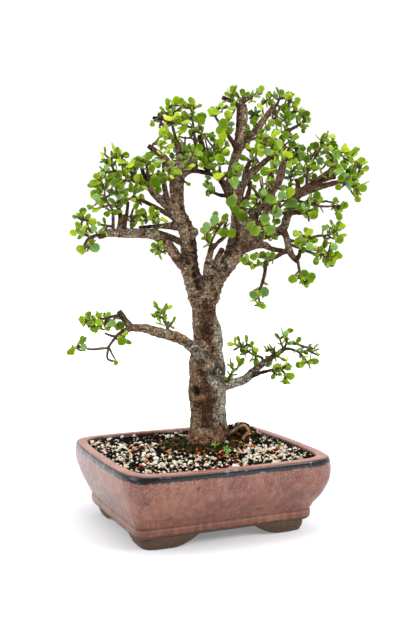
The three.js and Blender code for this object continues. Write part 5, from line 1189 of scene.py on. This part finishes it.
# Where the crust at the trunk's foot starts to fade, over which height, and how its edge is moved
CRUST_TOP = 97
CRUST_FADE = 16
CRUST_LUMPS = 1.9
# Where the trunk's tones turn to those of the fork, and where the painted shade on the limbs' inner sides
# begins
FORK_FROM = 244
FORK_FADE = 22
INNER_SHADE_FROM = 262
INNER_SHADE_FADE = 14
# Wood thinner than the first radius turns young, and thicker than the last one counts as a limb
YOUNG_FROM = 4.8
YOUNG_FADE = 2.2
LIMB_RADIUS = 6
BRANCH_NUMBERS = {name: number for number, name in enumerate(BRANCHES, start=1)}
PALE_BRANCHES = [BRANCH_NUMBERS[name] for name in ("low_right", "low_right_dark", "knot")]


def branch_path(start, end, points):
    """A branch's points, its depth growing evenly along its length as seen from the front, and its radii."""
    run = [0]
    for (x, z, _), (x2, z2, _) in zip(points, points[1:]):
        run.append(run[-1] + math.hypot(x2 - x, z2 - z))
    path = [seen(x, z, start + (end - start) * r / run[-1]) for (x, z, _), r in zip(points, run)]
    return smooth_path(path, [radius for _, _, radius in points], BRANCH_STEP)


def trunk_at(z):
    """The middle and the radius of the trunk at a height, or at several."""
    heights, middles, radii = zip(*TRUNK)
    return np.interp(z, heights, middles), np.interp(z, heights, radii)


def trunk_mesh():
    heights = np.arange(TRUNK[0][0], TRUNK[-1][0] + 0.1, TRUNK_STEP)
    vertices = []
    for z, x, radius in zip(heights, *trunk_at(heights)):
        flare = smoothstep(FLARE_TOP - z, 0, FLARE_HEIGHT)
        for angle in round_angles(TRUNK_SIDES):
            r = radius * (1 + 0.1 * flare * math.cos(5 * angle + 0.6) + 0.02 * math.cos(2 * angle + z / 40))
            vertices.append(place(x + r * math.cos(angle), float(z), TRUNK_DEPTH * r * math.sin(angle)))
    return vertices, ring_faces(len(heights), TRUNK_SIDES)


def deep_in_trunk(p):
    """Whether a point is in the trunk and not just under its skin."""
    x, y = to_tree(p)
    middle, radius = trunk_at(p.z)
    return p.z <= TRUNK[-1][0] and math.hypot(x - middle, y) < radius * 0.9


def knot_ring():
    """The rolled ring of callus round the knot on the trunk."""
    centre = seen(*KNOT)
    axis = (centre - place(2, KNOT[1], 0)).normalized()
    side = axis.cross(Vector((0, 0, 1))).normalized()
    up = side.cross(axis)
    path = []
    for angle in np.arange(33) * math.pi / 16:
        path.append(centre + (side * math.cos(angle) + up * math.sin(angle)) * KNOT_RADIUS)
    return tube(path, [KNOT_ROLL] * len(path), 10)


def knobbed(path, radii, random):
    """A branch's radii, swollen at its old leaf joints."""
    runs = [0]
    next_ring = 3 + 6 * next(random)
    rings = []
    for a, b in zip(path, path[1:]):
        runs.append(runs[-1] + (b - a).length)
        while runs[-1] > next_ring:
            rings.append(next_ring)
            next_ring += JOINT_GAP[0] + JOINT_GAP[1] * next(random)
    nearest = [min([abs(run - ring) for ring in rings] or [99]) for run in runs]
    return [r * (1 + JOINT_SWELL * math.exp(-(near / JOINT_WIDTH) ** 2)) for r, near in zip(radii, nearest)]


def build_wood(material):
    """Trunk and branches as one skin, smoothed at the forks, with the bark's relief.

    The lines in the middle of the trunk and the branches are kept as place, radius, run and number, for the
    relief; the trunk's number is 0.
    """
    mesh = Mesh()
    mesh.add(*trunk_mesh())
    path, radii = smooth_path([place(x, z, 0) for z, x, _ in TRUNK], [t[2] for t in TRUNK], TRUNK_LINE_STEP)
    lines = [(p, r, float(TRUNK_LINE_STEP * i), 0) for i, (p, r) in enumerate(zip(path, radii))]
    for number, (start, end, *points) in enumerate(BRANCHES.values(), start=1):
        path, radii = branch_path(start, end, points)
        radii = knobbed(path, radii, seeded(899 + number))
        mesh.add(*tube(path, radii, BRANCH_SIDES))
        for i, (p, radius) in enumerate(zip(path, radii)):
            if not deep_in_trunk(p):
                lines.append((p, radius, i * BRANCH_STEP, number))
    mesh.add(*knot_ring())
    wood = mesh.build("tree_bark", [material])
    modify(wood, "skin", "REMESH", mode="VOXEL", voxel_size=WOOD_VOXEL * MM, use_smooth_shade=True)
    modify(wood, "soften", "SMOOTH", factor=0.5, iterations=4)
    apply_modifiers(wood)
    relief_of(wood.data, lines)
    modify(wood, "thin", "DECIMATE", ratio=WOOD_KEPT)
    apply_modifiers(wood)
    finish_piece(wood, "bark", "tree_wood")


def nearest_lines(points, lines):
    """For each point, the place in the lines whose radius best matches how far away it is."""
    tree = KDTree(len(lines))
    for i, (p, *_) in enumerate(lines):
        tree.insert(p, i)
    tree.balance()
    nearest = np.empty(len(points), dtype=np.int64)
    for i, point in enumerate(points):
        found = tree.find_n(point, 6)
        nearest[i] = min(found, key=lambda f: abs(f[2] - lines[f[1]][1]) + 0.15 * f[2])[1]
    return nearest


def hill(far, middle, reach, power=2):
    """1 at a distance, falling off to 0 on both sides of it."""
    return np.exp(-((far - middle) / reach) ** power)


def add_scars(points, offset):
    """Adds scars, knots and hollows to the skin's offset; returns where it is cut, darkened with painted
    shade in its hollows, or ringed.
    """
    cut = np.zeros(len(points))
    dark = np.zeros(len(points))
    ring = np.zeros(len(points))
    for kind, x, z, y, reach, height in MARKS:
        far = np.linalg.norm(points - np.array(tuple(seen(x, z, y))), axis=1)
        if kind in ("pit", "crease"):
            offset -= height * hill(far, 0, reach)
            # Painted shade: pits and creases darkened
            dark = np.maximum(dark, (0.95 if kind == "pit" else 0.75) * hill(far, 0, reach, 6))
        elif kind == "bump":
            offset += height * hill(far, 0, reach)
        elif kind == "ledge":
            offset += height * hill(far, 0, reach)
            cut = np.maximum(cut, 0.35 * hill(far, 0, reach))
        elif kind == "eye":
            offset += height * hill(far, 1.5 * reach, 1.2) - height * hill(far, reach, 1)
            offset -= 0.6 * height * hill(far, 2.1 * reach, 1.1)
            # Painted shade in the hollows round the knot's eye
            dark = np.maximum(dark, 0.85 * hill(far, reach, 0.9))
            dark = np.maximum(dark, 0.55 * hill(far, 2 * reach, 0.8))
            ring = np.maximum(ring, hill(far, 1.5 * reach, 1))
            cut = np.maximum(cut, hill(far, 0, 0.5 * reach, 4))
        else:
            offset += height * hill(far, reach, 1.1) - height * hill(far, 0, reach)
            cut = np.maximum(cut, hill(far, 0, 0.75 * reach, 4))
    return cut, dark, ring


def relief_of(mesh, lines):
    """Bark: knobs, wrinkles round each branch, scars; with what the material needs at each point."""
    count = len(mesh.vertices)
    points = np.empty(count * 3)
    mesh.vertices.foreach_get("co", points)
    points = points.reshape(-1, 3) / MM
    normals = np.empty(count * 3)
    mesh.vertex_normals.foreach_get("vector", normals)
    normals = normals.reshape(-1, 3)
    nearest = nearest_lines(points, lines)
    centres = as_array([line[0] for line in lines])[nearest]
    radius, run, number = (np.array([line[k] for line in lines])[nearest] for k in (1, 2, 3))

    away = points - centres
    away /= np.maximum(1e-6, np.linalg.norm(away, axis=1))[:, None]
    size = np.clip(radius / 20, 0.12, 1)
    rounded = away * (radius * 0.14)[:, None]
    wrinkled = rounded + np.stack([run / WRINKLE_PITCH, number * 7.3, np.zeros(count)], axis=1)
    wrinkles = noise(wrinkled, 1, 21) * 0.7 + noise(wrinkled * 2.1, 1, 22) * 0.3
    knobs = noise(points, 13, 23) * 0.7 + noise(points, 6, 24) * 0.5
    grain = GRAIN_HEIGHT * np.sqrt(size) * noise(points, 2.4, 25)
    offset = WRINKLE_HEIGHT * size * wrinkles + KNOB_HEIGHT * size * knobs + grain
    cut, dark, ring = add_scars(points, offset)
    points += normals * offset[:, None]
    mesh.vertices.foreach_set("co", (points * MM).ravel())

    # The tones near the crust at the trunk's foot are read at points moved by its lumps, so they end raggedly
    crust = 1 - np.clip((points[:, 2] - CRUST_TOP) / CRUST_FADE, 0, 1)
    crust = np.clip(crust + 0.5 * noise(points, 9, 26) - 0.1, 0, 1)
    lumps = noise(points, 6, 27) + 0.6 * noise(points, 3.2, 28)
    is_limb = radius > LIMB_RADIUS
    points += normals * (CRUST_LUMPS * crust * is_limb * lumps)[:, None]
    height = points[:, 2]
    local = points - np.array(tuple(POT_CENTRE))
    side, depth = turned_back(local[:, 0], local[:, 1])
    is_trunk = number == 0
    rise = np.clip((height - FORK_FROM) / FORK_FADE, 0, 1)
    # Pale patches by noise, and painted light: paler where the faces turn up
    pale_patches_and_lit_tops = 0.22 + 0.35 * np.clip(normals[:, 2], 0, 1) + 0.3 * noise(points, 16, 29)
    pale = np.clip((side - 1) / 17 + 0.2 * noise(points, 12, 31), 0, 0.85)
    pale = np.where(is_trunk, pale * (1 - rise) + pale_patches_and_lit_tops * rise, pale_patches_and_lit_tops)
    pale = np.where(np.isin(number, PALE_BRANCHES), 0.75, pale)
    near_line = np.linalg.norm(points - centres, axis=1) < radius * 1.25
    pale = np.where(near_line & (number == BRANCH_NUMBERS["low_left"]) & (run < 24), 0.75, pale)
    sideways = normals[:, 0] * TURN_COS + normals[:, 1] * TURN_SIN
    # Painted shade: the limbs darker on their inner sides, which face the tree's middle
    inner_painted_shade = np.clip(-0.9 * sideways * np.sign(side + 4), 0, 0.75)
    inner_painted_shade *= np.clip((height - INNER_SHADE_FROM) / INNER_SHADE_FADE, 0, 1)
    # A red-brown band down the trunk's front: the bark's own colour, and partly painted shade between its lit
    # sides
    red_band_and_shade = 0.95 * hill(side + 3 * noise(points, 14, 30), -1, 9) * (1 - 0.8 * rise)
    arched = number == BRANCH_NUMBERS["root_arch"]
    tones = {
        "young": np.where(arched, 0, np.clip((YOUNG_FROM - radius) / YOUNG_FADE, 0, 1)),
        "relief": np.clip(wrinkles + 0.8 * knobs, -1, 1),
        "warm": crust,
        "cut": np.where(arched & (run > 18), 0.5, cut),
        "dark": dark,
        "pale": np.maximum(pale, ring),
        "deep": np.where(is_trunk & (depth < 0), red_band_and_shade, np.where(is_limb, inner_painted_shade, 0)),
    }
    for name, values in tones.items():
        add_attribute(mesh, name, values)
    mesh.update()


# Leafy shoots

# The pairs of leaves from a stem's tip backwards: how far they spread in degrees, and their size
PAIRS = [(42, 0.86), (60, 1), (70, 1.04), (78, 0.95)]
# Half width and half thickness along a leaf, as shares of its width and of its thickness
LEAF_FORM = [(0, 0.09, 0.75), (0.12, 0.19, 0.85), (0.3, 0.36, 0.95), (0.48, 0.465, 1), (0.65, 0.5, 1),
             (0.8, 0.45, 0.9), (0.92, 0.3, 0.7), (0.985, 0.11, 0.4)]
LEAF_SIDES = 8
STEM_SIDES = 6
STEM_STEP = 2.2
# How far leaves differ in their turn round the stem, their lean and their roll, in degrees, and in roundness
TURN_RANGE = 40
LEAN_RANGE = 30
ROLL_RANGE = 50
ROUNDNESS_RANGE = 0.22
SMALLEST_LEAF = 0.6
SIZE_RANGE = 0.8
# The leaf behind each one that faces the viewer: how far it is turned, and its size
BEHIND_TURN = 50
BEHIND_SIZE = 0.9
NARROW_SHOOTS = ["low_left_shoot", "low_right_base", "low_right_diagonal", "low_right_middle"]


def along_path(points, distance):
    """The place at a distance from the end of a line, and the way the line runs there."""
    left = distance
    for i in range(len(points) - 1, 0, -1):
        step = (points[i] - points[i - 1]).length
        tangent = (points[i] - points[i - 1]).normalized()
        if left <= step:
            return points[i] - tangent * left, tangent
        left -= step
    return None


def leaves_of(points, random, pairs, scale=1, roundness=LEAF_ROUNDNESS):
    """The leaves of a stem: foot, direction, across, upper, length, width, number of the pair and tone."""
    leaves = []
    turn_start = next(random) * 180
    for k, (spread, size) in enumerate(PAIRS):
        turn_noise = (next(random) - 0.5) * TURN_RANGE
        found = along_path(points, FIRST_PAIR + k * PAIR_STEP * scale)
        for half in (0, 180):
            draws = [next(random) for _ in range(4)]
            if not found or k >= pairs:
                continue
            at, tangent = found
            level = Vector((tangent.y, -tangent.x, 0))
            first = level.normalized() if level.length > 0.44 else Vector((1, 0, 0))
            first = (first - tangent * first.dot(tangent)).normalized()
            second = tangent.cross(first)
            turn = math.radians(turn_start + 90 * k + half + turn_noise)
            lean = math.radians(spread + (draws[0] - 0.5) * LEAN_RANGE)
            out = first * math.cos(turn) + second * math.sin(turn)
            direction = tangent * math.cos(lean) + out * math.sin(lean)
            direction.z += LEAF_LIFT
            direction.normalize()
            flat = tangent.cross(direction).normalized()
            steep = direction.cross(flat)
            roll = math.radians((draws[3] - 0.5) * ROLL_RANGE)
            across = flat * math.cos(roll) + steep * math.sin(roll)
            upper = direction.cross(across)
            if upper.dot(tangent) < 0:
                upper = -upper
            length = LEAF_LENGTH * scale * size * (SMALLEST_LEAF + SIZE_RANGE * draws[1] ** 1.5)
            width = length * (roundness + ROUNDNESS_RANGE * draws[2])
            leaves.append((at, direction, across, upper, length, width, k, (draws[0] + draws[3]) / 2))
    return leaves


def leaf_faces():
    """Faces of a leaf between its foot, the rings of LEAF_FORM and its tip."""
    rings = len(LEAF_FORM)
    faces = []
    for k in range(LEAF_SIDES):
        n = (k + 1) % LEAF_SIDES
        last = 1 + (rings - 1) * LEAF_SIDES
        faces += [(0, 1 + n, 1 + k), (last + k, last + n, last + LEAF_SIDES)]
        for base in range(1, last, LEAF_SIDES):
            faces.append((base + k, base + n, base + LEAF_SIDES + n, base + LEAF_SIDES + k))
    return faces


LEAF_FACES = leaf_faces()


def add_leaf(mesh, leaf, tone, thick=LEAF_THICKNESS, cool=0):
    at, direction, across, upper, length, width, *_ = leaf
    vertices = [at]
    alongs = [0]
    # Painted light for each vertex: 1 at the leaf's rim, foot and tip, 0 along its midline
    painted_rim_light = [1]
    for along, wide, high in LEAF_FORM:
        middle = at + direction * (length * along) + upper * (LEAF_CUP * length * (along - 0.5) ** 2)
        for angle in round_angles(LEAF_SIDES):
            sideways = math.cos(angle) * wide * width
            up = math.copysign(abs(math.sin(angle)) ** 0.8, math.sin(angle)) * high * thick / 2
            sag = 0.12 * width * (math.cos(angle) * wide * 2) ** 2
            vertices.append(middle + across * sideways + upper * (up + sag * 0.5))
            alongs.append(along)
            painted_rim_light.append(abs(math.cos(angle)))
    vertices.append(at + direction * length + upper * (LEAF_CUP * length * 0.25))
    alongs.append(1)
    painted_rim_light.append(1)
    faces = LEAF_FACES
    if direction.cross(across).dot(upper) < 0:
        faces = [tuple(reversed(face)) for face in faces]
    mesh.add(vertices, faces, tone=tone, along=alongs, cool=cool, edge=painted_rim_light)


def nearest_on(stems, point):
    """Where a twig to the point leaves the stems: the nearest place, moved a little towards the foot."""
    best = None
    for stem in stems:
        for a, b in zip(stem, stem[1:]):
            on, share = intersect_point_line(point, a, b)
            on = a.copy() if share < 0 else b.copy() if share > 1 else on
            far = (on - point).length
            if best is None or far < best[1]:
                best = (on, far, (a - b).normalized(), (on - a).length)
    on, far, back, run = best
    return on + back * min(run, 0.3 * far)


def bent_twig(start, end):
    """A twig that leaves its stem low and rises to its end."""
    control = (start + end) / 2
    control.z -= 0.14 * (start - end).length
    twig = []
    for k in range(TWIG_STEPS + 1):
        t = k / TWIG_STEPS
        twig.append(start * (1 - t) ** 2 + control * (2 * t * (1 - t)) + end * t ** 2)
    return twig


def stems_of(description, random):
    """The main stem and the side twigs of a shoot, each cut back from where its last leaves reach."""
    main, *sides = description
    stems = [[seen(x, z, y) for x, z, y in main]]
    for side in sides:
        depth = main[-1][2] + (next(random) - 0.5) * DEPTH_SPREAD
        points = []
        for x, z, *given in side if isinstance(side, list) else [side]:
            depth = given[0] if given else depth
            points.append(seen(x, z, depth))
        start = nearest_on(stems, points[0])
        stems.append([start, *points] if len(points) > 1 else bent_twig(start, points[0]))
    for stem in stems:
        before, end = stem[-2:]
        stem[-1] = end + (before - end).normalized() * min(TIP_BACK, 0.6 * (before - end).length)
    return stems


def add_stem(mesh, points, base, tip):
    path, share = smooth_path(points, [i / (len(points) - 1) for i in range(len(points))], STEM_STEP)
    radii = [(base + (tip - base) * s) * (1 + 0.12 * (i % 3 == 0)) for i, s in enumerate(share)]
    tone = [s for s in share for _ in range(STEM_SIDES)]
    mesh.add(*tube(path, radii, STEM_SIDES), 1, tone=tone, along=0, cool=0, edge=0)


def is_bare(leaf):
    """Whether the middle of a leaf covers a place that is kept bare."""
    at, direction, _, _, length, *_ = leaf
    x, z = seen_at(at + direction * (length / 2))
    return any(math.hypot(x - bare_x, z - bare_z) < reach for bare_x, bare_z, reach in BARE)


def add_facing_leaf(mesh, stems, depth, side, x, z, angle, length, width, tone, cool):
    """A leaf turned to the viewer, or the other way where the side is -1, on a twig of its own."""
    cos = math.cos(math.radians(angle))
    sin = math.sin(math.radians(angle))
    base = seen(x - cos * length / 2, z - sin * length / 2, depth)
    tip = seen(x + cos * length / 2, z + sin * length / 2, depth - 0.2 * length * side)
    direction = (tip - base).normalized()
    facing = place(0, 0.4, -side) - place(0, 0, 0)
    upper = (facing - direction * facing.dot(direction)).normalized()
    add_leaf(mesh, (base, direction, direction.cross(upper), upper, length, width), tone, cool=cool)
    start = nearest_on(stems, base)
    if (start - base).length > 2:
        add_stem(mesh, bent_twig(start, base), STEM_RADIUS * 0.75, TIP_RADIUS)


def add_facing_pair(mesh, stems, depth, x, z, angle, length, width, tone, cool=0, forward=FACING_FORWARD):
    """A leaf that faces the viewer and, behind its shoot, a smaller one that faces away."""
    add_facing_leaf(mesh, stems, depth - forward, 1, x, z, angle, length, width, tone, cool)
    add_facing_leaf(mesh, stems, depth + FACING_FORWARD, -1, x, z, angle + BEHIND_TURN,
                    BEHIND_SIZE * length, BEHIND_SIZE * width, tone, cool)


def build_shoot(name, description, seed, materials):
    random = seeded(seed)
    choice = seeded(seed + 500)
    stems = stems_of(description, random)
    stems += [[seen(*point) for point in twig] for twig in MORE_TWIGS.get(name, ())]
    roundness = NARROW_LEAF if name in NARROW_SHOOTS else LEAF_ROUNDNESS
    mesh = Mesh("tone", "along", "cool", "edge")
    for i, points in enumerate(stems):
        add_stem(mesh, points, STEM_RADIUS * (1.3 if i == 0 else 1), TIP_RADIUS)
        pairs = 3 + (next(choice) > 0.7) if i == 0 else 2 + (next(choice) > 0.78)
        for leaf in leaves_of(points, random, pairs, roundness=roundness):
            *_, pair, shade = leaf
            tone = min(1, max(0, 0.02 + 0.75 * shade + (0.16 if pair == 0 else 0)))
            # Some leaves get a painted bluish sheen
            cool = 0.8 * (next(choice) > 0.86)
            if not is_bare(leaf):
                add_leaf(mesh, leaf, tone, cool=cool)
    for facing in FACING.get(name, ()):
        add_facing_pair(mesh, stems, description[0][-1][2], *facing)
    finish_piece(mesh.build("leafy_" + name, materials), "leaf_green", "shoot_" + name)


# Grains, moss and weeds

# Each kind of grain: share, smallest and largest
GRAINS = {
    "lava_black": (0.43, 2.6, 6.6),
    "pumice_cream": (0.36, 2.2, 6.4),
    "lava_orange": (0.12, 2.2, 5),
    "grit_ochre": (0.09, 2.2, 5),
}
# How many places are tried, and how near to touching two neighbours come, as a share of their radii
GRAIN_TRIES = 16000
GRAIN_SPACING = 0.78
MOSS_TRIES = 14000
MOSS_SPACING = 0.55
TRUNK_KEEP_OFF = 25
# Weed seedlings in the tree's own axes: x, y, height, scale, pairs of leaves
SEEDLINGS = {
    "weed_seedling_front": (21, -62, 11, 0.5, 3),
    "weed_seedling_trunk": (8, -40, 8, 0.42, 2),
}
SEEDLING_ROOT = 7


def foot_moss(x, y):
    return 1 - smoothstep(math.hypot((x + 7) * 0.92, y + 8), 36, 54)


def mossy(x, y):
    """How mossy a place is: round the trunk's foot and on the mound behind it."""
    mound = 1 - smoothstep(math.hypot(x - 43, y - 20), 24, 36)
    return max(foot_moss(x, y), 0.7 * mound)


def cluster(x, y, middle_x, middle_y, spread):
    """1 in the middle of a cluster of grains, falling off round it."""
    return math.exp(-((x - middle_x) ** 2 + (y - middle_y) ** 2) / spread ** 2)


def share_of(kind, x, y):
    """How common a kind of grain is at a place in the tree's own axes."""
    share = GRAINS[kind][0]
    if kind == "pumice_cream":
        share *= 0.8 + 1.5 * cluster(x, y, 62, -40, 38)
        share *= 1 + 0.6 * cluster(x, y, -62, -30, 34)
        share *= 1 - 0.85 * foot_moss(x, y)
    if kind == "lava_orange":
        share *= 0.6 + 4 * cluster(x, y, 14, -40, 26) + 2 * mossy(x, y)
    if kind == "lava_black":
        share *= 1 + 1.6 * smoothstep(y, 0, 60) + mossy(x, y)
    return share


def scatter(seed, tries, chooser, spacing):
    """Places in the pot that keep apart from one another: position, radius and kind of each."""
    random = seeded(seed)
    cell = 8
    held = {}
    found = []
    for _ in range(tries):
        across = (next(random) - 0.5) * POT_LENGTH
        deep = (next(random) - 0.5) * POT_WIDTH
        choice = next(random)
        size = next(random)
        p = POT_CENTRE + Vector((across, deep, 0))
        x, y = to_tree(p)
        radius, kind = chooser(x, y, choice, size)
        if kind is None or not inside_pot(p, radius + 0.4) or x * x + y * y < (TRUNK_KEEP_OFF + radius) ** 2:
            continue
        column, row = int(across // cell), int(deep // cell)
        near = [q for i in (-1, 0, 1) for j in (-1, 0, 1) for q in held.get((column + i, row + j), ())]
        if any((q - p).length < spacing * (other + radius) for q, other in near):
            continue
        held.setdefault((column, row), []).append((p, radius))
        found.append((p, radius, kind))
    return found


def lump_shape(subdivisions):
    """Corners and faces of a small ball."""
    ball = bmesh.new()
    bmesh.ops.create_icosphere(ball, subdivisions=subdivisions, radius=1)
    ball.verts.ensure_lookup_table()
    corners = as_array([v.co for v in ball.verts])
    faces = [tuple(v.index for v in f.verts) for f in ball.faces]
    ball.free()
    return corners, faces


def lump(corners, centre, radius, random, jitter, flat):
    """The corners of one grain: a ball turned at random, with uneven corners."""
    turn = Vector((next(random) - 0.5, next(random) - 0.5, next(random) - 0.5)).normalized()
    spin = np.array(Matrix.Rotation(next(random) * 6.28, 3, turn))
    stretch = np.array([1, 0.72 + 0.28 * next(random), flat])
    rough = np.array([1 + jitter * (next(random) - 0.5) for _ in range(len(corners))])
    shaped = (corners * rough[:, None] * stretch) @ spin.T * radius
    return [tuple(v) for v in shaped + np.array(tuple(centre))]


def choose_grain(x, y, choice, size):
    """Radius and kind of the grain at a place, or no kind where the moss is thick."""
    if mossy(x, y) > 0.3 + 0.8 * ((choice * 7) % 1):
        return 0, None
    shares = [(kind, share_of(kind, x, y)) for kind in GRAINS]
    total = sum(share for _, share in shares)
    for kind, share in shares:
        choice -= share / total
        if choice <= 0:
            break
    _, low, high = GRAINS[kind]
    return (low + (high - low) * size ** 1.8) / 2, kind


def choose_tuft(x, y, choice, size):
    return (0.7 + 1.1 * size, "moss") if mossy(x, y) > 0.25 + 0.6 * choice else (0, None)


def build_grains(materials):
    corners, faces = lump_shape(2)
    random = seeded(77)
    meshes = {kind: Mesh("tone") for kind in GRAINS}
    for p, radius, kind in scatter(5, GRAIN_TRIES, choose_grain, GRAIN_SPACING):
        centre = Vector((p.x, p.y, surface_at(p) - 0.9 + radius * 0.35))
        meshes[kind].add(lump(corners, centre, radius, random, 0.42, 0.78), faces, tone=next(random))
    for kind, mesh in meshes.items():
        finish_piece(mesh.build("grains_" + kind, [materials[kind]], smooth=False), "soil_grit")


def build_moss(material):
    corners, faces = lump_shape(1)
    random = seeded(78)
    mesh = Mesh("tone")
    for p, radius, _ in scatter(6, MOSS_TRIES, choose_tuft, MOSS_SPACING):
        centre = Vector((p.x, p.y, surface_at(p) - 0.8 + next(random) * 1.4))
        mesh.add(lump(corners, centre, radius * 1.2, random, 0.9, 0.9), faces, tone=next(random))
    finish_piece(mesh.build("moss_tufts", [material], smooth=False), "weed_green")


def build_seedlings(materials):
    for i, (name, (x, y, height, scale, pairs)) in enumerate(SEEDLINGS.items()):
        level = ground_height(x, y)
        points = [place(x, level - SEEDLING_ROOT, y), place(x + 1, level + height, y - 1)]
        mesh = Mesh("tone", "along", "cool", "edge")
        add_stem(mesh, points, STEM_RADIUS * 0.6, TIP_RADIUS * 0.6)
        for leaf in leaves_of(points, seeded(40 + i), pairs, scale):
            add_leaf(mesh, leaf, leaf[-1], 0.9)
        finish_piece(mesh.build("fine_" + name, materials), "weed_green", name)


# The setting: a pale floor that glows, less near the pot, soft light from both sides, the front viewpoint

FLOOR_HALF = 6000
WORLD_FRONT = 0.3
WORLD_BACK = 1.08
# Lamps: name, place in the tree's own axes as x, y and z, side and power
LIGHTS = [
    ("lamp_right", (1100, -700, 1100), 900, 19),
    ("lamp_left", (-1200, -500, 900), 900, 11),
    ("lamp_top", (0, -200, 1700), 1200, 16),
]
LIGHT_AIM = 200
# The camera: how far it looks down, and its place from the pot's centre along its own axes
VIEW_ELEVATION = math.radians(3.044)
LENS = 50
CAMERA_RIGHT = 12.6
CAMERA_UP = 247.25
CAMERA_BACK = 1031.04


def build_floor():
    """A floor that glows white far from the pot, as painted light, more weakly near it, where it takes the
    pot's shadow.
    """
    paint = Paint("floor", 0.75, specular=0.2)
    x, y, _ = paint.axes()
    far = paint.distance(node(paint.tree, "CombineXYZ", {"X": x, "Y": y}).outputs[0])
    paint.set("Emission Color", (1, 1, 1, 1))
    # Painted light: the floor glows, weakly near the pot and fully far from it
    paint.set("Emission Strength", paint.fit(far, 250, 800, 0.22, 1.0))
    mesh = Mesh()
    corners = [(-FLOOR_HALF, -FLOOR_HALF, 0), (FLOOR_HALF, -FLOOR_HALF, 0), (FLOOR_HALF, FLOOR_HALF, 0),
               (-FLOOR_HALF, FLOOR_HALF, 0)]
    mesh.add(corners, [(0, 1, 2, 3)])
    floor = mesh.build("floor", [paint.coloured(srgb(226, 228, 232))], smooth=False)


def build_light():
    """A white world that is brighter behind the tree, and three lamps."""
    scene = bpy.context.scene
    scene.world = bpy.data.worlds.new("studio")
    scene.world.use_nodes = True
    sky = scene.world.node_tree
    background = sky.nodes["Background"]
    way = node(sky, "TexCoord", {}).outputs["Generated"]
    ahead = node(sky, "VectorMath", {0: way, 1: (-TURN_SIN, TURN_COS, 0)}, operation="DOT_PRODUCT")
    strength = fit(sky, ahead.outputs["Value"], -0.2, 0.6, WORLD_FRONT, WORLD_BACK)
    feed(sky, background.inputs["Strength"], strength)
    feed(sky, background.inputs["Color"], (1, 1, 1, 1))
    for name, (x, y, z), size, power in LIGHTS:
        light = bpy.data.lights.new(name, "AREA")
        light.shape = "RECTANGLE"
        light.size = size * MM
        light.size_y = size * MM
        light.energy = power
        lamp = bpy.data.objects.new(name, light)
        lamp.location = place(x, z, y) * MM
        aim = place(0, LIGHT_AIM, 0) * MM
        lamp.rotation_euler = (aim - lamp.location).to_track_quat("-Z", "Y").to_euler()
        scene.collection.objects.link(lamp)
    scene.view_settings.view_transform = "Standard"


def build_camera():
    level = math.cos(VIEW_ELEVATION)
    right = Vector((TURN_COS, TURN_SIN, 0))
    back = Vector((TURN_SIN * level, -TURN_COS * level, math.sin(VIEW_ELEVATION)))
    up = back.cross(right)
    location = POT_CENTRE + right * CAMERA_RIGHT + up * CAMERA_UP + back * CAMERA_BACK
    camera = bpy.data.cameras.new("front")
    camera.lens = LENS
    camera.sensor_width = 36
    camera.sensor_fit = "AUTO"
    holder = bpy.data.objects.new("front", camera)
    turn = Matrix((right, up, back)).transposed()
    holder.matrix_world = Matrix.Translation(location * MM) @ turn.to_4x4()
    bpy.context.scene.collection.objects.link(holder)
    bpy.context.scene.camera = holder


build_pot(glaze_material())
mesh_material = screen_material()
for name in ("drain_screen_left", "drain_screen_right"):
    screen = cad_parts[name]
    screen.data.materials.clear()
    screen.data.materials.append(mesh_material)
# The bed: dark soil, painted near black as the shade between the grains
build_ground(grit_material("bed", (8, 6, 5), (24, 19, 15)))
build_grains({
    "lava_black": grit_material("lava_black", (5, 5, 5), (34, 29, 28)),
    "pumice_cream": grit_material("pumice_cream", (204, 190, 160), (250, 247, 236), speck=(150, 132, 100)),
    "lava_orange": grit_material("lava_orange", (156, 58, 24), (218, 112, 58)),
    "grit_ochre": grit_material("grit_ochre", (92, 80, 48), (168, 146, 96)),
})
build_moss(grit_material("moss", (24, 20, 9), (76, 70, 30)))
weed = leaf_material("weed", (60, 120, 30), (110, 170, 50), (170, 210, 90))
build_seedlings([weed, weed])
build_wood(bark_material())
green = leaf_material("leaf", (34, 62, 0), (108, 140, 0), (192, 206, 52))
stem = stem_material()
for number, (name, description) in enumerate(SHOOTS.items()):
    build_shoot(name, description, 100 + number, [green, stem])
build_floor()
build_light()
build_camera()
